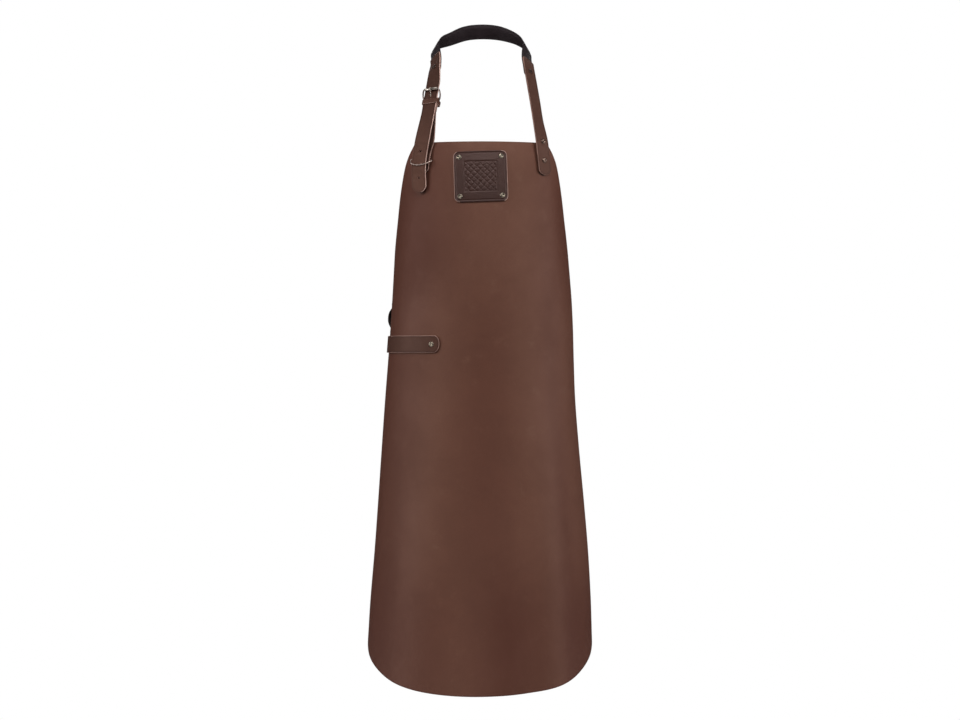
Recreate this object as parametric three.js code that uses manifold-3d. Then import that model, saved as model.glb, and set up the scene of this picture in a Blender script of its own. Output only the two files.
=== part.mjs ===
// Leather work apron in its worn form: a wrapped panel, a padded neck band on two straps, a buckle, a waist strap.
// Millimetres, +Z up, the front faces -Y. The origin is at the nape, on the neck band's inner face.

import * as THREE from "three";
import { mergeVertices } from "three/addons/utils/BufferGeometryUtils.js";
import Module from "manifold-3d";

const wasm = await Module();
wasm.setup();

// Leather and metal stock
const GAP = 0.4;
const PANEL_THICK = 2.2;
const STRAP_WIDTH = 27;
const STRAP_THICK = 2.8;
const LAP_THICK = 2.4;
const BAND_WIDTH = 28;
const BAND_END_WIDTH = 27.4;
const BAND_THICK = 5;
const WAIST_WIDTH = 31;
const WAIST_THICK = 2.8;
const RIVET_HEAD = 4.7;
const RIVET_SHANK = 1.6;

// The panel's cut: heights of its top and hem, how far the hem's corners rise, the ear under the right strap
const BIB_TOP = -225;
const HEM = -1229;
const HEM_RISE = 170;
const EAR_RISE = 12;
const EAR_HALF = 0.088;
const EAR_MIDDLE = 0.912;

// The worn form by height: half-widths left and right of the centre line, depth of the front line,
// how far the widest place lies behind it, and the angle round the wearer at which the leather is cut
const SECTIONS = [
  { z: -1230, left: 217, right: 211.5, front: -207, depth: 148, edge: 101 },
  { z: -1144, left: 211.2, right: 207.6, front: -206, depth: 146, edge: 102 },
  { z: -1068, left: 206.4, right: 205.2, front: -205, depth: 143, edge: 103 },
  { z: -975, left: 198.4, right: 199.8, front: -204.5, depth: 138, edge: 104.5 },
  { z: -881, left: 191.4, right: 191.6, front: -204, depth: 132, edge: 106 },
  { z: -788, left: 184.8, right: 182.6, front: -204, depth: 125, edge: 107.5 },
  { z: -695, left: 178, right: 175, front: -204.5, depth: 118, edge: 109 },
  { z: -621, left: 172, right: 172, front: -205.5, depth: 113, edge: 110 },
  { z: -565, left: 167.8, right: 170.5, front: -206.5, depth: 111, edge: 109 },
  { z: -510, left: 164.2, right: 167.8, front: -207.5, depth: 110, edge: 104 },
  { z: -464, left: 161.6, right: 164.2, front: -208, depth: 110, edge: 96 },
  { z: -418, left: 159.2, right: 160.4, front: -207.5, depth: 110, edge: 86 },
  { z: -372, left: 157, right: 157.4, front: -206, depth: 110, edge: 78.6 },
  { z: -327, left: 155.6, right: 155.4, front: -203.5, depth: 109, edge: 73 },
  { z: -290, left: 155, right: 154.8, front: -200, depth: 108, edge: 67 },
  { z: -264, left: 154.6, right: 154.8, front: -197, depth: 107, edge: 62 },
  { z: -246, left: 154.4, right: 154.8, front: -194, depth: 106, edge: 57 },
  { z: -225, left: 154.4, right: 154.8, front: -190, depth: 105, edge: 50.4 },
  { z: -205, left: 154.4, right: 154.8, front: -184, depth: 104, edge: 49 },
];

// Soft folds of the skirt: angle at the middle, half-spread, height, and the heights where each starts and is full
const FOLDS = [
  { angle: -31, spread: 19, rise: 6, start: -640, full: -900 },
  { angle: 8, spread: 15, rise: -5, start: -640, full: -940 },
  { angle: 39, spread: 13, rise: 6, start: -660, full: -1000 },
  { angle: 26, spread: 8, rise: -3.5, start: -900, full: -1180 },
  { angle: -62, spread: 13, rise: -3, start: -700, full: -1000 },
  { angle: 66, spread: 13, rise: -3, start: -700, full: -1000 },
  { angle: -52, spread: 16, rise: 2.5, start: -560, full: -380 },
  { angle: 54, spread: 16, rise: 2.5, start: -560, full: -380 },
];

// The straps' middle surface from the right band joint over the nape to the buckle:
// place, then where the outer face points: degrees round from the front by the right, and degrees upward
const RIGHT_RISE = [
  { x: 104, y: -151, z: -182.6, facing: 47, lift: 20 },
  { x: 98.5, y: -135, z: -144.2, facing: 48, lift: 25 },
  { x: 92.6, y: -112, z: -104.5, facing: 49, lift: 28 },
  { x: 89.6, y: -96, z: -82, facing: 53, lift: 31 },
];
const ROUND_NECK = [
  { x: 87.6, y: -80, z: -65, facing: 58, lift: 36 },
  { x: 88.2, y: -62, z: -49.5, facing: 71, lift: 35 },
  { x: 89, y: -45, z: -35.5, facing: 85, lift: 33 },
  { x: 80.5, y: -27, z: -22.5, facing: 107, lift: 31 },
  { x: 62, y: -11, z: -9.6, facing: 134, lift: 34 },
  { x: 33, y: 4.4, z: 0.2, facing: 161, lift: 24 },
  { x: 0, y: 6.8, z: 2, facing: 180, lift: 12 },
  { x: -31, y: 4.4, z: -1.2, facing: 199, lift: 19 },
  { x: -61, y: -10, z: -13.4, facing: 226, lift: 28 },
  { x: -79.4, y: -26, z: -22, facing: 253, lift: 30 },
  { x: -88.6, y: -44, z: -33.5, facing: 274, lift: 34 },
  { x: -87, y: -61, z: -48.5, facing: 288, lift: 34 },
  { x: -84.4, y: -79, z: -64.5, facing: 297, lift: 32 },
];
const LEFT_FALL = [
  { x: -86, y: -97, z: -84.2, facing: 314, lift: 30 },
];

// The buckle's middle on the strap, the way the strap climbs there, and the way its face points
const BUCKLE_AT = { x: -91.6, y: -131.6, z: -136.4 };
const BUCKLE_CLIMB = { x: 8.3, y: 30, z: 55.1 };
const BUCKLE_FACING = 333;
const BUCKLE_LIFT = 29;

// Where straps lie on the bib: angle round the wearer, height, lift of the strap's middle surface, turn of its face
const RIGHT_LAP = [
  { angle: 47.4, z: -285, lift: 2.6, turn: 3 },
  { angle: 46.8, z: -270, lift: 2.6, turn: 3 },
  { angle: 45.6, z: -246, lift: 2.6, turn: 4 },
  { angle: 44.2, z: -222, lift: 3.2, turn: 5 },
];
const FREE_END = [
  { angle: -40.9, z: -222, lift: 9.4, turn: 12 },
  { angle: -42.8, z: -248, lift: 9.4, turn: 12 },
  { angle: -43.7, z: -270, lift: 9.4, turn: 12 },
  { angle: -43.7, z: -296, lift: 8, turn: 12 },
  { angle: -43.2, z: -318, lift: 6.8, turn: 12 },
];
const BUCKLE_LAP = [
  { angle: -38, z: -222, lift: 2.2, turn: 0 },
  { angle: -40, z: -238, lift: 2.1, turn: 0 },
  { angle: -41.2, z: -256, lift: 3.9, turn: 0 },
  { angle: -42.2, z: -268, lift: 2.1, turn: 0 },
  { angle: -42.6, z: -282, lift: 2.1, turn: 0 },
];

// Colours
const BROWN = 0x5c4035;
const STRAP_BROWN = 0x583d33;
const PATCH_BROWN = 0x46352f;
const BLACK = 0x231c1d;
const NICKEL = 0xb4aaa0;

const vec = (x, y, z) => new THREE.Vector3(x, y, z);
const rad = THREE.MathUtils.degToRad;
const group = new THREE.Group();
group.name = "leather_apron";

// Reads a table between its rows: every column follows a smooth curve through its values
function reader(rows, knots) {
  const names = Object.keys(rows[0]);
  const last = rows.length - 1;
  const slope = (name, i) => {
    const low = Math.max(i - 1, 0);
    const high = Math.min(i + 1, last);
    return (rows[high][name] - rows[low][name]) / (knots[high] - knots[low]);
  };
  return (at) => {
    let i = 0;
    while (i < last - 1 && at > knots[i + 1]) i += 1;
    const step = knots[i + 1] - knots[i];
    const t = Math.min(Math.max((at - knots[i]) / step, 0), 1);
    const ease = t * t * (3 - 2 * t);
    const out = {};
    for (const name of names) {
      const bend = t * (1 - t) * (slope(name, i) * (1 - t) - slope(name, i + 1) * t) * step;
      out[name] = rows[i][name] * (1 - ease) + rows[i + 1][name] * ease + bend;
    }
    return out;
  };
}

const sectionAt = reader(SECTIONS, SECTIONS.map((row) => row.z));

function foldHeight(angle, z) {
  let height = 0;
  for (const fold of FOLDS) {
    const grown = THREE.MathUtils.clamp((z - fold.start) / (fold.full - fold.start), 0, 1);
    const away = (angle - fold.angle) / fold.spread;
    height += fold.rise * grown * grown * (3 - 2 * grown) * Math.exp(-away * away);
  }
  return height;
}

// A point of the worn form's outer face; angles past the cut edge go on round the wearer's back
function formPoint(angle, z) {
  const row = sectionAt(z);
  const turned = THREE.MathUtils.euclideanModulo(angle + 180, 360) - 180;
  const half = turned < 0 ? row.left : row.right;
  const fold = foldHeight(turned, z);
  const x = (half + fold) * Math.sin(rad(turned));
  return vec(x, row.front + row.depth - (row.depth + fold) * Math.cos(rad(turned)), z);
}

function formNormal(angle, z) {
  const across = formPoint(angle + 0.5, z).sub(formPoint(angle - 0.5, z));
  const upward = formPoint(angle, z + 3).sub(formPoint(angle, z - 3));
  return across.cross(upward).normalize();
}

function above(angle, z, lift) {
  return formPoint(angle, z).addScaledVector(formNormal(angle, z), lift);
}

// A closed wall between two grids of points, its outer and its inner face
function wall(outer, inner) {
  const rows = outer.length;
  const cols = outer[0].length;
  const points = [...outer.flat(), ...inner.flat()];
  const at = (face, row, col) => (face * rows + row) * cols + col;
  const index = [];
  const quad = (a, b, c, d) => index.push(a, b, c, a, c, d);
  for (let r = 0; r < rows - 1; r += 1) {
    for (let c = 0; c < cols - 1; c += 1) {
      quad(at(0, r, c), at(0, r, c + 1), at(0, r + 1, c + 1), at(0, r + 1, c));
      quad(at(1, r, c), at(1, r + 1, c), at(1, r + 1, c + 1), at(1, r, c + 1));
    }
    quad(at(0, r, 0), at(0, r + 1, 0), at(1, r + 1, 0), at(1, r, 0));
    quad(at(0, r, cols - 1), at(1, r, cols - 1), at(1, r + 1, cols - 1), at(0, r + 1, cols - 1));
  }
  for (let c = 0; c < cols - 1; c += 1) {
    quad(at(0, 0, c), at(1, 0, c), at(1, 0, c + 1), at(0, 0, c + 1));
    quad(at(0, rows - 1, c), at(0, rows - 1, c + 1), at(1, rows - 1, c + 1), at(1, rows - 1, c));
  }
  let volume = 0;
  for (let i = 0; i < index.length; i += 3) {
    const [a, b, c] = [points[index[i]], points[index[i + 1]], points[index[i + 2]]];
    volume += a.dot(b.clone().cross(c));
  }
  if (volume < 0) index.reverse();
  const geometry = new THREE.BufferGeometry().setFromPoints(points);
  geometry.setIndex(index);
  return geometry;
}

// Half-width of a strap near a round end
function roundEnd(half, reach, distance) {
  const t = Math.min(Math.max(distance / reach, 0.03), 1);
  return half * Math.sqrt(1 - (1 - t) * (1 - t));
}

// A flat strap through stations of place, outward direction and half-width; its faces lie low and high of them
function strap(stations, low, high, cols = 1) {
  const outer = [];
  const inner = [];
  stations.forEach((station, i) => {
    const before = stations[Math.max(i - 1, 0)].place;
    const after = stations[Math.min(i + 1, stations.length - 1)].place;
    const along = after.clone().sub(before).normalize();
    const out = station.out.clone().addScaledVector(along, -along.dot(station.out)).normalize();
    const side = along.clone().cross(out);
    const line = [...Array(cols + 1).keys()].map((c) => (2 * c) / cols - 1);
    const crown = (c, face) => (typeof face === "function" ? face(c, station) : face);
    const point = (c, face) =>
      station.place.clone().addScaledVector(side, c * station.half).addScaledVector(out, crown(c, face));
    outer.push(line.map((c) => point(c, high)));
    inner.push(line.map((c) => point(c, low)));
  });
  return wall(outer, inner);
}

function toSolid(geometry) {
  const plain = geometry.clone();
  plain.deleteAttribute("normal");
  plain.deleteAttribute("uv");
  const merged = mergeVertices(plain, 1e-4);
  const vertProperties = new Float32Array(merged.attributes.position.array);
  const triVerts = new Uint32Array(merged.index.array);
  return new wasm.Manifold(new wasm.Mesh({ numProp: 3, vertProperties, triVerts }));
}

function toGeometry(solid) {
  const mesh = solid.getMesh();
  const geometry = new THREE.BufferGeometry();
  geometry.setAttribute("position", new THREE.BufferAttribute(new Float32Array(mesh.vertProperties), 3));
  geometry.setIndex(new THREE.BufferAttribute(new Uint32Array(mesh.triVerts), 1));
  return geometry;
}

function cut(geometry, tools) {
  let solid = toSolid(geometry);
  for (const tool of tools) solid = solid.subtract(toSolid(tool));
  return toGeometry(solid);
}

function add(name, geometry, colour, roughness, metalness) {
  const material = new THREE.MeshStandardMaterial({ color: colour, roughness, metalness });
  const mesh = new THREE.Mesh(geometry, material);
  mesh.name = name;
  group.add(mesh);
  return mesh;
}

const leather = (name, geometry, colour) => add(name, geometry, colour, 0.62, 0);
const metal = (name, geometry) => add(name, geometry, NICKEL, 0.3, 1);

// A rivet through leather: a dished head outside, a shank and a flat cap inside; grip runs along its axis
function rivetShape(grip) {
  const head = grip + GAP / 2;
  const profile = [
    [0, -1.5], [4, -1], [4, -GAP / 2], [RIVET_SHANK, -GAP / 2], [RIVET_SHANK, head],
    [RIVET_HEAD, head], [RIVET_HEAD, head + 0.7], [2.9, head + 1.9], [0, head + 1.2],
  ];
  return new THREE.LatheGeometry(profile.map(([r, h]) => new THREE.Vector2(r, h)), 8);
}

function holeTool(place, axis, reach = 9) {
  const tool = new THREE.CylinderGeometry(RIVET_SHANK + 0.3, RIVET_SHANK + 0.3, 2 * reach, 10);
  tool.applyQuaternion(new THREE.Quaternion().setFromUnitVectors(vec(0, 1, 0), axis));
  tool.translate(place.x, place.y, place.z);
  return tool;
}

function rivet(name, place, axis, low, high) {
  const mesh = metal(name, rivetShape(high - low));
  mesh.quaternion.setFromUnitVectors(vec(0, 1, 0), axis);
  mesh.position.copy(place).addScaledVector(axis, low);
}

// Rivets on the panel: angle, height, and how far the leather under the head reaches above the panel's outer face
const BADGE = { angle: -0.2, z: -289.3, width: 96, height: 92.5, corner: 9.5, tilt: 1.8, thick: 2.4, lift: 0.6 };
const BADGE_PITCH = { across: 75.6, up: 71 };
const lapTop = (lift, thick) => lift + thick / 2;
const PANEL_RIVETS = [
  { name: "right_rivet_upper", angle: 45.1, z: -223.8, top: lapTop(3.3, STRAP_THICK) },
  { name: "right_rivet_lower", angle: 46.2, z: -258, top: lapTop(2.9, STRAP_THICK) },
  { name: "buckle_strap_rivet_upper", angle: -39.6, z: -234, top: lapTop(2.1, LAP_THICK) },
  { name: "buckle_strap_rivet_lower", angle: -42.3, z: -271, top: lapTop(2.1, LAP_THICK) },
  { name: "waist_rivet_left", angle: -31.6, z: -592.4, top: 0.8 + WAIST_THICK },
  { name: "waist_rivet_right", angle: 105, z: -592.4, top: 0.8 + WAIST_THICK },
  { name: "side_loop_rivet_upper", angle: -102.5, z: -517.5, top: 0.5 + 2 },
  { name: "side_loop_rivet_lower", angle: -102.5, z: -568.5, top: 0.5 + 2 },
];

// Flat badge coordinates to angle and height on the bib, with its slight tilt
function badgePlace(across, up) {
  const turn = rad(BADGE.tilt);
  const right = across * Math.cos(turn) - up * Math.sin(turn);
  const z = BADGE.z + across * Math.sin(turn) + up * Math.cos(turn);
  const middle = sectionAt(z).right * Math.sin(rad(BADGE.angle));
  return { angle: THREE.MathUtils.radToDeg(Math.asin((right + middle) / sectionAt(z).right)), z };
}

[[-1, 1], [1, 1], [-1, -1], [1, -1]].forEach(([sx, sy], i) => {
  const spot = badgePlace((sx * BADGE_PITCH.across) / 2, (sy * BADGE_PITCH.up) / 2);
  PANEL_RIVETS.push({ name: `badge_rivet_${i + 1}`, ...spot, top: BADGE.lift + BADGE.thick });
});

const panelHoles = PANEL_RIVETS.map(({ angle, z }) => holeTool(formPoint(angle, z), formNormal(angle, z)));
const holesOf = (...names) => panelHoles.filter((hole, i) => names.some((name) => PANEL_RIVETS[i].name.startsWith(name)));

// The wrapped panel: columns run from hem to bib top, closer together toward the side edges
const PANEL_COLS = 34;
const PANEL_ROWS = 24;
const panelOuter = [];
const panelInner = [];
const ear = (u) => Math.max(0, 1 - ((u - EAR_MIDDLE) / EAR_HALF) ** 4) ** 0.5;
for (let r = 0; r <= PANEL_ROWS; r += 1) {
  const v = 1 - (1 - r / PANEL_ROWS) ** 1.3;
  const spots = [];
  for (let c = 0; c <= PANEL_COLS; c += 1) {
    const even = (2 * c) / PANEL_COLS - 1;
    const u = 0.45 * even + 0.55 * Math.sin((even * Math.PI) / 2);
    const low = HEM + HEM_RISE * (1 - Math.sqrt(Math.max(0, 1 - u * u)));
    const high = BIB_TOP + EAR_RISE * ear(u);
    const z = low + (high - low) * v;
    spots.push({ angle: u * sectionAt(z).edge, z });
  }
  panelOuter.push(spots.map(({ angle, z }) => formPoint(angle, z)));
  panelInner.push(spots.map(({ angle, z }) => above(angle, z, -PANEL_THICK)));
}
leather("apron_panel", cut(wall(panelOuter, panelInner), panelHoles), BROWN);

// The plain badge patch, laid on the bib's curve
const badgeOuter = [];
const badgeInner = [];
for (let r = 0; r <= 10; r += 1) {
  const up = (BADGE.height / 2) * Math.sin((Math.PI / 2) * (r / 5 - 1));
  const over = Math.max(0, Math.abs(up) - (BADGE.height / 2 - BADGE.corner));
  const half = BADGE.width / 2 - BADGE.corner + Math.sqrt(BADGE.corner ** 2 - over ** 2);
  const spots = [...Array(10).keys()].map((c) => badgePlace(half * (c / 4.5 - 1), up));
  badgeOuter.push(spots.map(({ angle, z }) => above(angle, z, BADGE.lift + BADGE.thick)));
  badgeInner.push(spots.map(({ angle, z }) => above(angle, z, BADGE.lift)));
}
leather("badge_patch", cut(wall(badgeOuter, badgeInner), holesOf("badge")), PATCH_BROWN);

// One line for the neck: up the right, round the nape, down through the buckle to the free end
function pointing(facing, lift) {
  const level = Math.cos(rad(lift));
  return vec(level * Math.sin(rad(facing)), -level * Math.cos(rad(facing)), Math.sin(rad(lift)));
}

function lying({ angle, z, lift, turn }) {
  const place = above(angle, z, lift);
  const out = formNormal(angle, z);
  const facing = THREE.MathUtils.radToDeg(Math.atan2(out.x, -out.y)) + turn;
  return { x: place.x, y: place.y, z: place.z, facing, lift: THREE.MathUtils.radToDeg(Math.asin(out.z)) };
}

const leftward = (row) => ({ ...row, facing: row.facing + 360 });
const climb = vec(BUCKLE_CLIMB.x, BUCKLE_CLIMB.y, BUCKLE_CLIMB.z).normalize();
const buckleAt = vec(BUCKLE_AT.x, BUCKLE_AT.y, BUCKLE_AT.z);
function buckleRow(distance) {
  const place = buckleAt.clone().addScaledVector(climb, distance);
  return { x: place.x, y: place.y, z: place.z, facing: BUCKLE_FACING, lift: BUCKLE_LIFT };
}

const neckRows = [
  ...RIGHT_LAP.map(lying),
  ...RIGHT_RISE,
  ...ROUND_NECK,
  ...LEFT_FALL,
  ...[30, 18, 0, -24, -40].map(buckleRow),
  ...FREE_END.map((row) => leftward(lying(row))),
];

function lineOf(rows) {
  const knots = [0];
  for (let i = 1; i < rows.length; i += 1) {
    const [a, b] = [rows[i - 1], rows[i]];
    knots.push(knots[i - 1] + Math.hypot(b.x - a.x, b.y - a.y, b.z - a.z));
  }
  return { knots, at: reader(rows, knots), length: knots[knots.length - 1] };
}

const neck = lineOf(neckRows);
const BAND_START = RIGHT_LAP.length + RIGHT_RISE.length;
const BAND_END = BAND_START + ROUND_NECK.length - 1;
const rightTop = neck.knots[BAND_START] + 4;
const leftTop = neck.knots[BAND_END] - 16;

function neckStation(run, half) {
  const row = neck.at(run);
  return { place: vec(row.x, row.y, row.z), out: pointing(row.facing, row.lift), half, run };
}

// Runs from one place to another in even steps, with more of them inside round ends
function runs(from, to, step, roundFrom, roundTo) {
  const list = [];
  const fine = [0.03, 0.12, 0.28, 0.5, 0.75];
  if (roundFrom) fine.forEach((t) => list.push(from + t * roundFrom));
  const start = from + roundFrom;
  const end = to - roundTo;
  const count = Math.max(1, Math.round((end - start) / step));
  for (let i = 0; i <= count; i += 1) list.push(start + ((end - start) * i) / count);
  if (roundTo) [...fine].reverse().forEach((t) => list.push(to - t * roundTo));
  return list;
}

function neckStrap(from, to, roundFrom, roundTo) {
  const stations = runs(from, to, 11, roundFrom, roundTo).map((run) => {
    const begin = roundFrom ? roundEnd(STRAP_WIDTH / 2, roundFrom, run - from) : STRAP_WIDTH / 2;
    const finish = roundTo ? roundEnd(STRAP_WIDTH / 2, roundTo, to - run) : STRAP_WIDTH / 2;
    return neckStation(run, Math.min(begin, finish));
  });
  return strap(stations, -STRAP_THICK / 2, STRAP_THICK / 2);
}

// Joint rivets that hold the band under the straps' upper ends
const JOINT_BACK = 35;
const BAND_LAP = 51;
const bandTop = -STRAP_THICK / 2 - GAP;
const joints = [
  { name: "band_rivet_right", run: rightTop - JOINT_BACK },
  { name: "band_rivet_left", run: leftTop + JOINT_BACK },
];
const bandThin = (run) => {
  const inside = Math.min(run - (rightTop - BAND_LAP), leftTop + BAND_LAP - run);
  return 2.2 + (BAND_THICK - 2.2) * THREE.MathUtils.smoothstep(inside, 37, 73);
};
for (const joint of joints) {
  const station = neckStation(joint.run, 1);
  joint.place = station.place;
  joint.out = station.out;
  joint.hole = holeTool(joint.place, joint.out);
  rivet(joint.name, joint.place, joint.out, bandTop - bandThin(joint.run) - 0.3, STRAP_THICK / 2 + 0.5);
}

// The padded band: full thickness along its middle, thinner toward its long edges and at its lapped ends
const bandStations = runs(rightTop - BAND_LAP, leftTop + BAND_LAP, 11, 10, 10).map((run) => {
  const ends = Math.min(run - (rightTop - BAND_LAP), leftTop + BAND_LAP - run);
  const widen = THREE.MathUtils.smoothstep(ends, 41, 71);
  const wide = (BAND_END_WIDTH + (BAND_WIDTH - BAND_END_WIDTH) * widen) / 2;
  return neckStation(run, Math.min(wide, roundEnd(wide, 10, ends)));
});
const bandInner = (c, station) => bandTop - bandThin(station.run) * (1 - 0.55 * c ** 4);
const bandOuter = (c, station) => bandTop - 0.2 * bandThin(station.run) * c ** 4;
const band = strap(bandStations, bandInner, bandOuter, 4);
leather("neck_band", cut(band, joints.map((joint) => joint.hole)), BLACK);

// Right strap: from its round end on the bib to its end on the band
const rightHoles = [...holesOf("right_rivet"), joints[0].hole];
leather("neck_strap_right", cut(neckStrap(0, rightTop, 11, 4), rightHoles), STRAP_BROWN);

// The buckle's own directions: across the strap, up along it, out of it; the frame leans so its roller stands out
const buckleOut = pointing(BUCKLE_FACING, BUCKLE_LIFT);
buckleOut.addScaledVector(climb, -climb.dot(buckleOut)).normalize();
const buckleSide = climb.clone().cross(buckleOut);
const strapBasis = new THREE.Matrix4().makeBasis(buckleSide, climb, buckleOut).setPosition(buckleAt);
const BAR = 2.8;
const ROLLER = 2.7;
const FOLD_MID = BAR / 2 + 1.1 + LAP_THICK / 2;
const barTop = { y: 12.5, z: STRAP_THICK / 2 + GAP + ROLLER };
const barHeel = { y: -6, z: -STRAP_THICK / 2 - GAP - LAP_THICK / 2 - FOLD_MID };
const lean = Math.atan2(barTop.z - barHeel.z, barTop.y - barHeel.y);
const frameBasis = strapBasis.clone()
  .multiply(new THREE.Matrix4().makeTranslation(0, (barTop.y + barHeel.y) / 2, (barTop.z + barHeel.z) / 2))
  .multiply(new THREE.Matrix4().makeRotationX(lean));
const pitch = Math.hypot(barTop.z - barHeel.z, barTop.y - barHeel.y);

const FRAME_HALF = 16.4;
const FRAME_BULGE = 20.6;
// A slab with straight bars at top and bottom and bowed sides
function bowedSlab(half, bulge, tall, depth) {
  const shape = new THREE.Shape();
  shape.moveTo(half - 2, tall);
  shape.quadraticCurveTo(half, tall, half + 0.6, tall - 2);
  shape.quadraticCurveTo(bulge, 0, half + 0.6, 2 - tall);
  shape.quadraticCurveTo(half, -tall, half - 2, -tall);
  shape.lineTo(2 - half, -tall);
  shape.quadraticCurveTo(-half, -tall, -half - 0.6, 2 - tall);
  shape.quadraticCurveTo(-bulge, 0, -half - 0.6, tall - 2);
  shape.quadraticCurveTo(-half, tall, 2 - half, tall);
  const solid = new THREE.ExtrudeGeometry(shape, { depth, bevelEnabled: false, curveSegments: 5 });
  return solid.translate(0, 0, -depth / 2);
}
const frameOuter = bowedSlab(FRAME_HALF, FRAME_BULGE, pitch / 2 + BAR / 2, BAR);
const frameInner = bowedSlab(FRAME_HALF - BAR, FRAME_BULGE - BAR - 0.4, pitch / 2 - BAR / 2, 2 * BAR);
metal("buckle_frame", cut(frameOuter, [frameInner])).applyMatrix4(frameBasis);

// The roller, a tube round the top bar
const ROLLER_HALF = 12.6;
const rollerBore = 2.05;
const rollerProfile = [
  [rollerBore, -ROLLER_HALF], [ROLLER, -ROLLER_HALF], [ROLLER, ROLLER_HALF], [rollerBore, ROLLER_HALF],
  [rollerBore, -ROLLER_HALF],
];
const rollerSolid = new THREE.LatheGeometry(rollerProfile.map(([r, h]) => new THREE.Vector2(r, h)), 14);
rollerSolid.rotateZ(Math.PI / 2);
rollerSolid.translate(0, pitch / 2, 0);
metal("buckle_roller", rollerSolid).applyMatrix4(frameBasis);

// The prong: a hook round the heel bar, then through the strap and over the roller
const PRONG = 1.1;
const hookRadius = BAR / 2 + 0.7 + PRONG;
function prongSolid(radius) {
  const points = [];
  for (let deg = 346; deg >= 90; deg -= 32) {
    points.push(vec(0, -pitch / 2 + hookRadius * Math.cos(rad(deg)), hookRadius * Math.sin(rad(deg))));
  }
  const lineHeight = hookRadius + 0.2;
  points.push(vec(0, -pitch / 2 + 5, lineHeight));
  points.push(vec(0, 0, lineHeight + 0.1));
  points.push(vec(0, pitch / 2 - 3, ROLLER + GAP + PRONG));
  points.push(vec(0, pitch / 2 + 1.5, ROLLER + GAP + PRONG));
  points.push(vec(0, pitch / 2 + 3.4, ROLLER + GAP + PRONG - 0.9));
  const path = new THREE.CatmullRomCurve3(points);
  const round = new THREE.Shape().absarc(0, 0, radius, 0, 2 * Math.PI);
  return new THREE.ExtrudeGeometry(round, { steps: 20, extrudePath: path, curveSegments: 3, bevelEnabled: false });
}
metal("buckle_prong", prongSolid(PRONG)).applyMatrix4(frameBasis);

// Left strap: from the band down through the buckle to its round free end, with its row of holes
const HOLE_FIRST = 117;
const HOLE_PITCH = 49;
const HOLES_BELOW = 2;
const HOLE_RADIUS = 1.9;
const buckleRun = neck.knots[BAND_END + LEFT_FALL.length + 3];
const strapHoles = [joints[1].hole, prongSolid(PRONG + 0.4).applyMatrix4(frameBasis)];
for (let i = 0; i < HOLES_BELOW; i += 1) {
  const station = neckStation(buckleRun + HOLE_FIRST + i * HOLE_PITCH, 1);
  const tool = new THREE.CylinderGeometry(HOLE_RADIUS, HOLE_RADIUS, 5, 10);
  tool.applyQuaternion(new THREE.Quaternion().setFromUnitVectors(vec(0, 1, 0), station.out));
  tool.translate(station.place.x, station.place.y, station.place.z);
  strapHoles.push(tool);
}
leather("neck_strap_left", cut(neckStrap(leftTop, neck.length, 4, 14), strapHoles), STRAP_BROWN);

// Buckle strap: riveted on the bib, up behind the free end, round the heel bar and down again behind itself
const local = (y, z) => vec(0, y, z).applyMatrix4(strapBasis);
const localOut = (deg) => climb.clone().multiplyScalar(Math.cos(rad(deg))).addScaledVector(buckleOut, Math.sin(rad(deg)));
const frontLeg = barHeel.z + FOLD_MID;
const tuck = frontLeg - LAP_THICK - GAP;
const lapRows = [...BUCKLE_LAP].reverse().map((row) => leftward(lying(row)));
const legEnd = local(-26, frontLeg);
lapRows.push({ x: legEnd.x, y: legEnd.y, z: legEnd.z, facing: BUCKLE_FACING, lift: BUCKLE_LIFT });
const legTop = local(barHeel.y - 5.4, frontLeg);
lapRows.push({ x: legTop.x, y: legTop.y, z: legTop.z, facing: BUCKLE_FACING, lift: BUCKLE_LIFT });
const lap = lineOf(lapRows);
const lapStations = runs(0, lap.length, 8, 9, 0).map((run) => {
  const row = lap.at(run);
  const half = roundEnd(STRAP_WIDTH / 2, 9, run);
  return { place: vec(row.x, row.y, row.z), out: pointing(row.facing, row.lift), half };
});
for (let deg = 90; deg >= -90; deg -= 30) {
  const place = local(barHeel.y + FOLD_MID * Math.cos(rad(deg)), barHeel.z + FOLD_MID * Math.sin(rad(deg)));
  lapStations.push({ place, out: localOut(deg), half: STRAP_WIDTH / 2 });
}
const tuckRows = [[3.4, barHeel.z - FOLD_MID + 0.3], [8.4, tuck - 1.2], [13.4, tuck], [21, tuck], [27, tuck]];
tuckRows.forEach(([below, z]) => {
  lapStations.push({ place: local(barHeel.y - below, z), out: localOut(-90), half: STRAP_WIDTH / 2 });
});
const slot = new THREE.BoxGeometry(2 * PRONG + 1.4, 12, 16);
slot.translate(0, barHeel.y + 2.2, barHeel.z);
slot.applyMatrix4(strapBasis);
const lapSolid = strap(lapStations, -LAP_THICK / 2, LAP_THICK / 2);
leather("buckle_strap", cut(lapSolid, [slot, ...holesOf("buckle_strap")]), STRAP_BROWN);

// A loop round straps: a rounded frame in the plane across the strap, drawn out along it
function loopSolid(halfWide, low, high, thick, tall, corner) {
  const outline = (path, grow) => {
    const [w, l, h, r] = [halfWide + grow, low - grow, high + grow, corner + grow];
    path.moveTo(w - r, l);
    path.quadraticCurveTo(w, l, w, l + r);
    path.lineTo(w, h - r);
    path.quadraticCurveTo(w, h, w - r, h);
    path.lineTo(r - w, h);
    path.quadraticCurveTo(-w, h, -w, h - r);
    path.lineTo(-w, l + r);
    path.quadraticCurveTo(-w, l, r - w, l);
    path.closePath();
  };
  const shape = new THREE.Shape();
  const hole = new THREE.Path();
  outline(shape, thick);
  outline(hole, 0);
  shape.holes.push(hole);
  const solid = new THREE.ExtrudeGeometry(shape, { depth: tall, bevelEnabled: false, curveSegments: 4 });
  solid.rotateX(Math.PI / 2);
  return solid.translate(0, tall / 2, 0);
}

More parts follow.
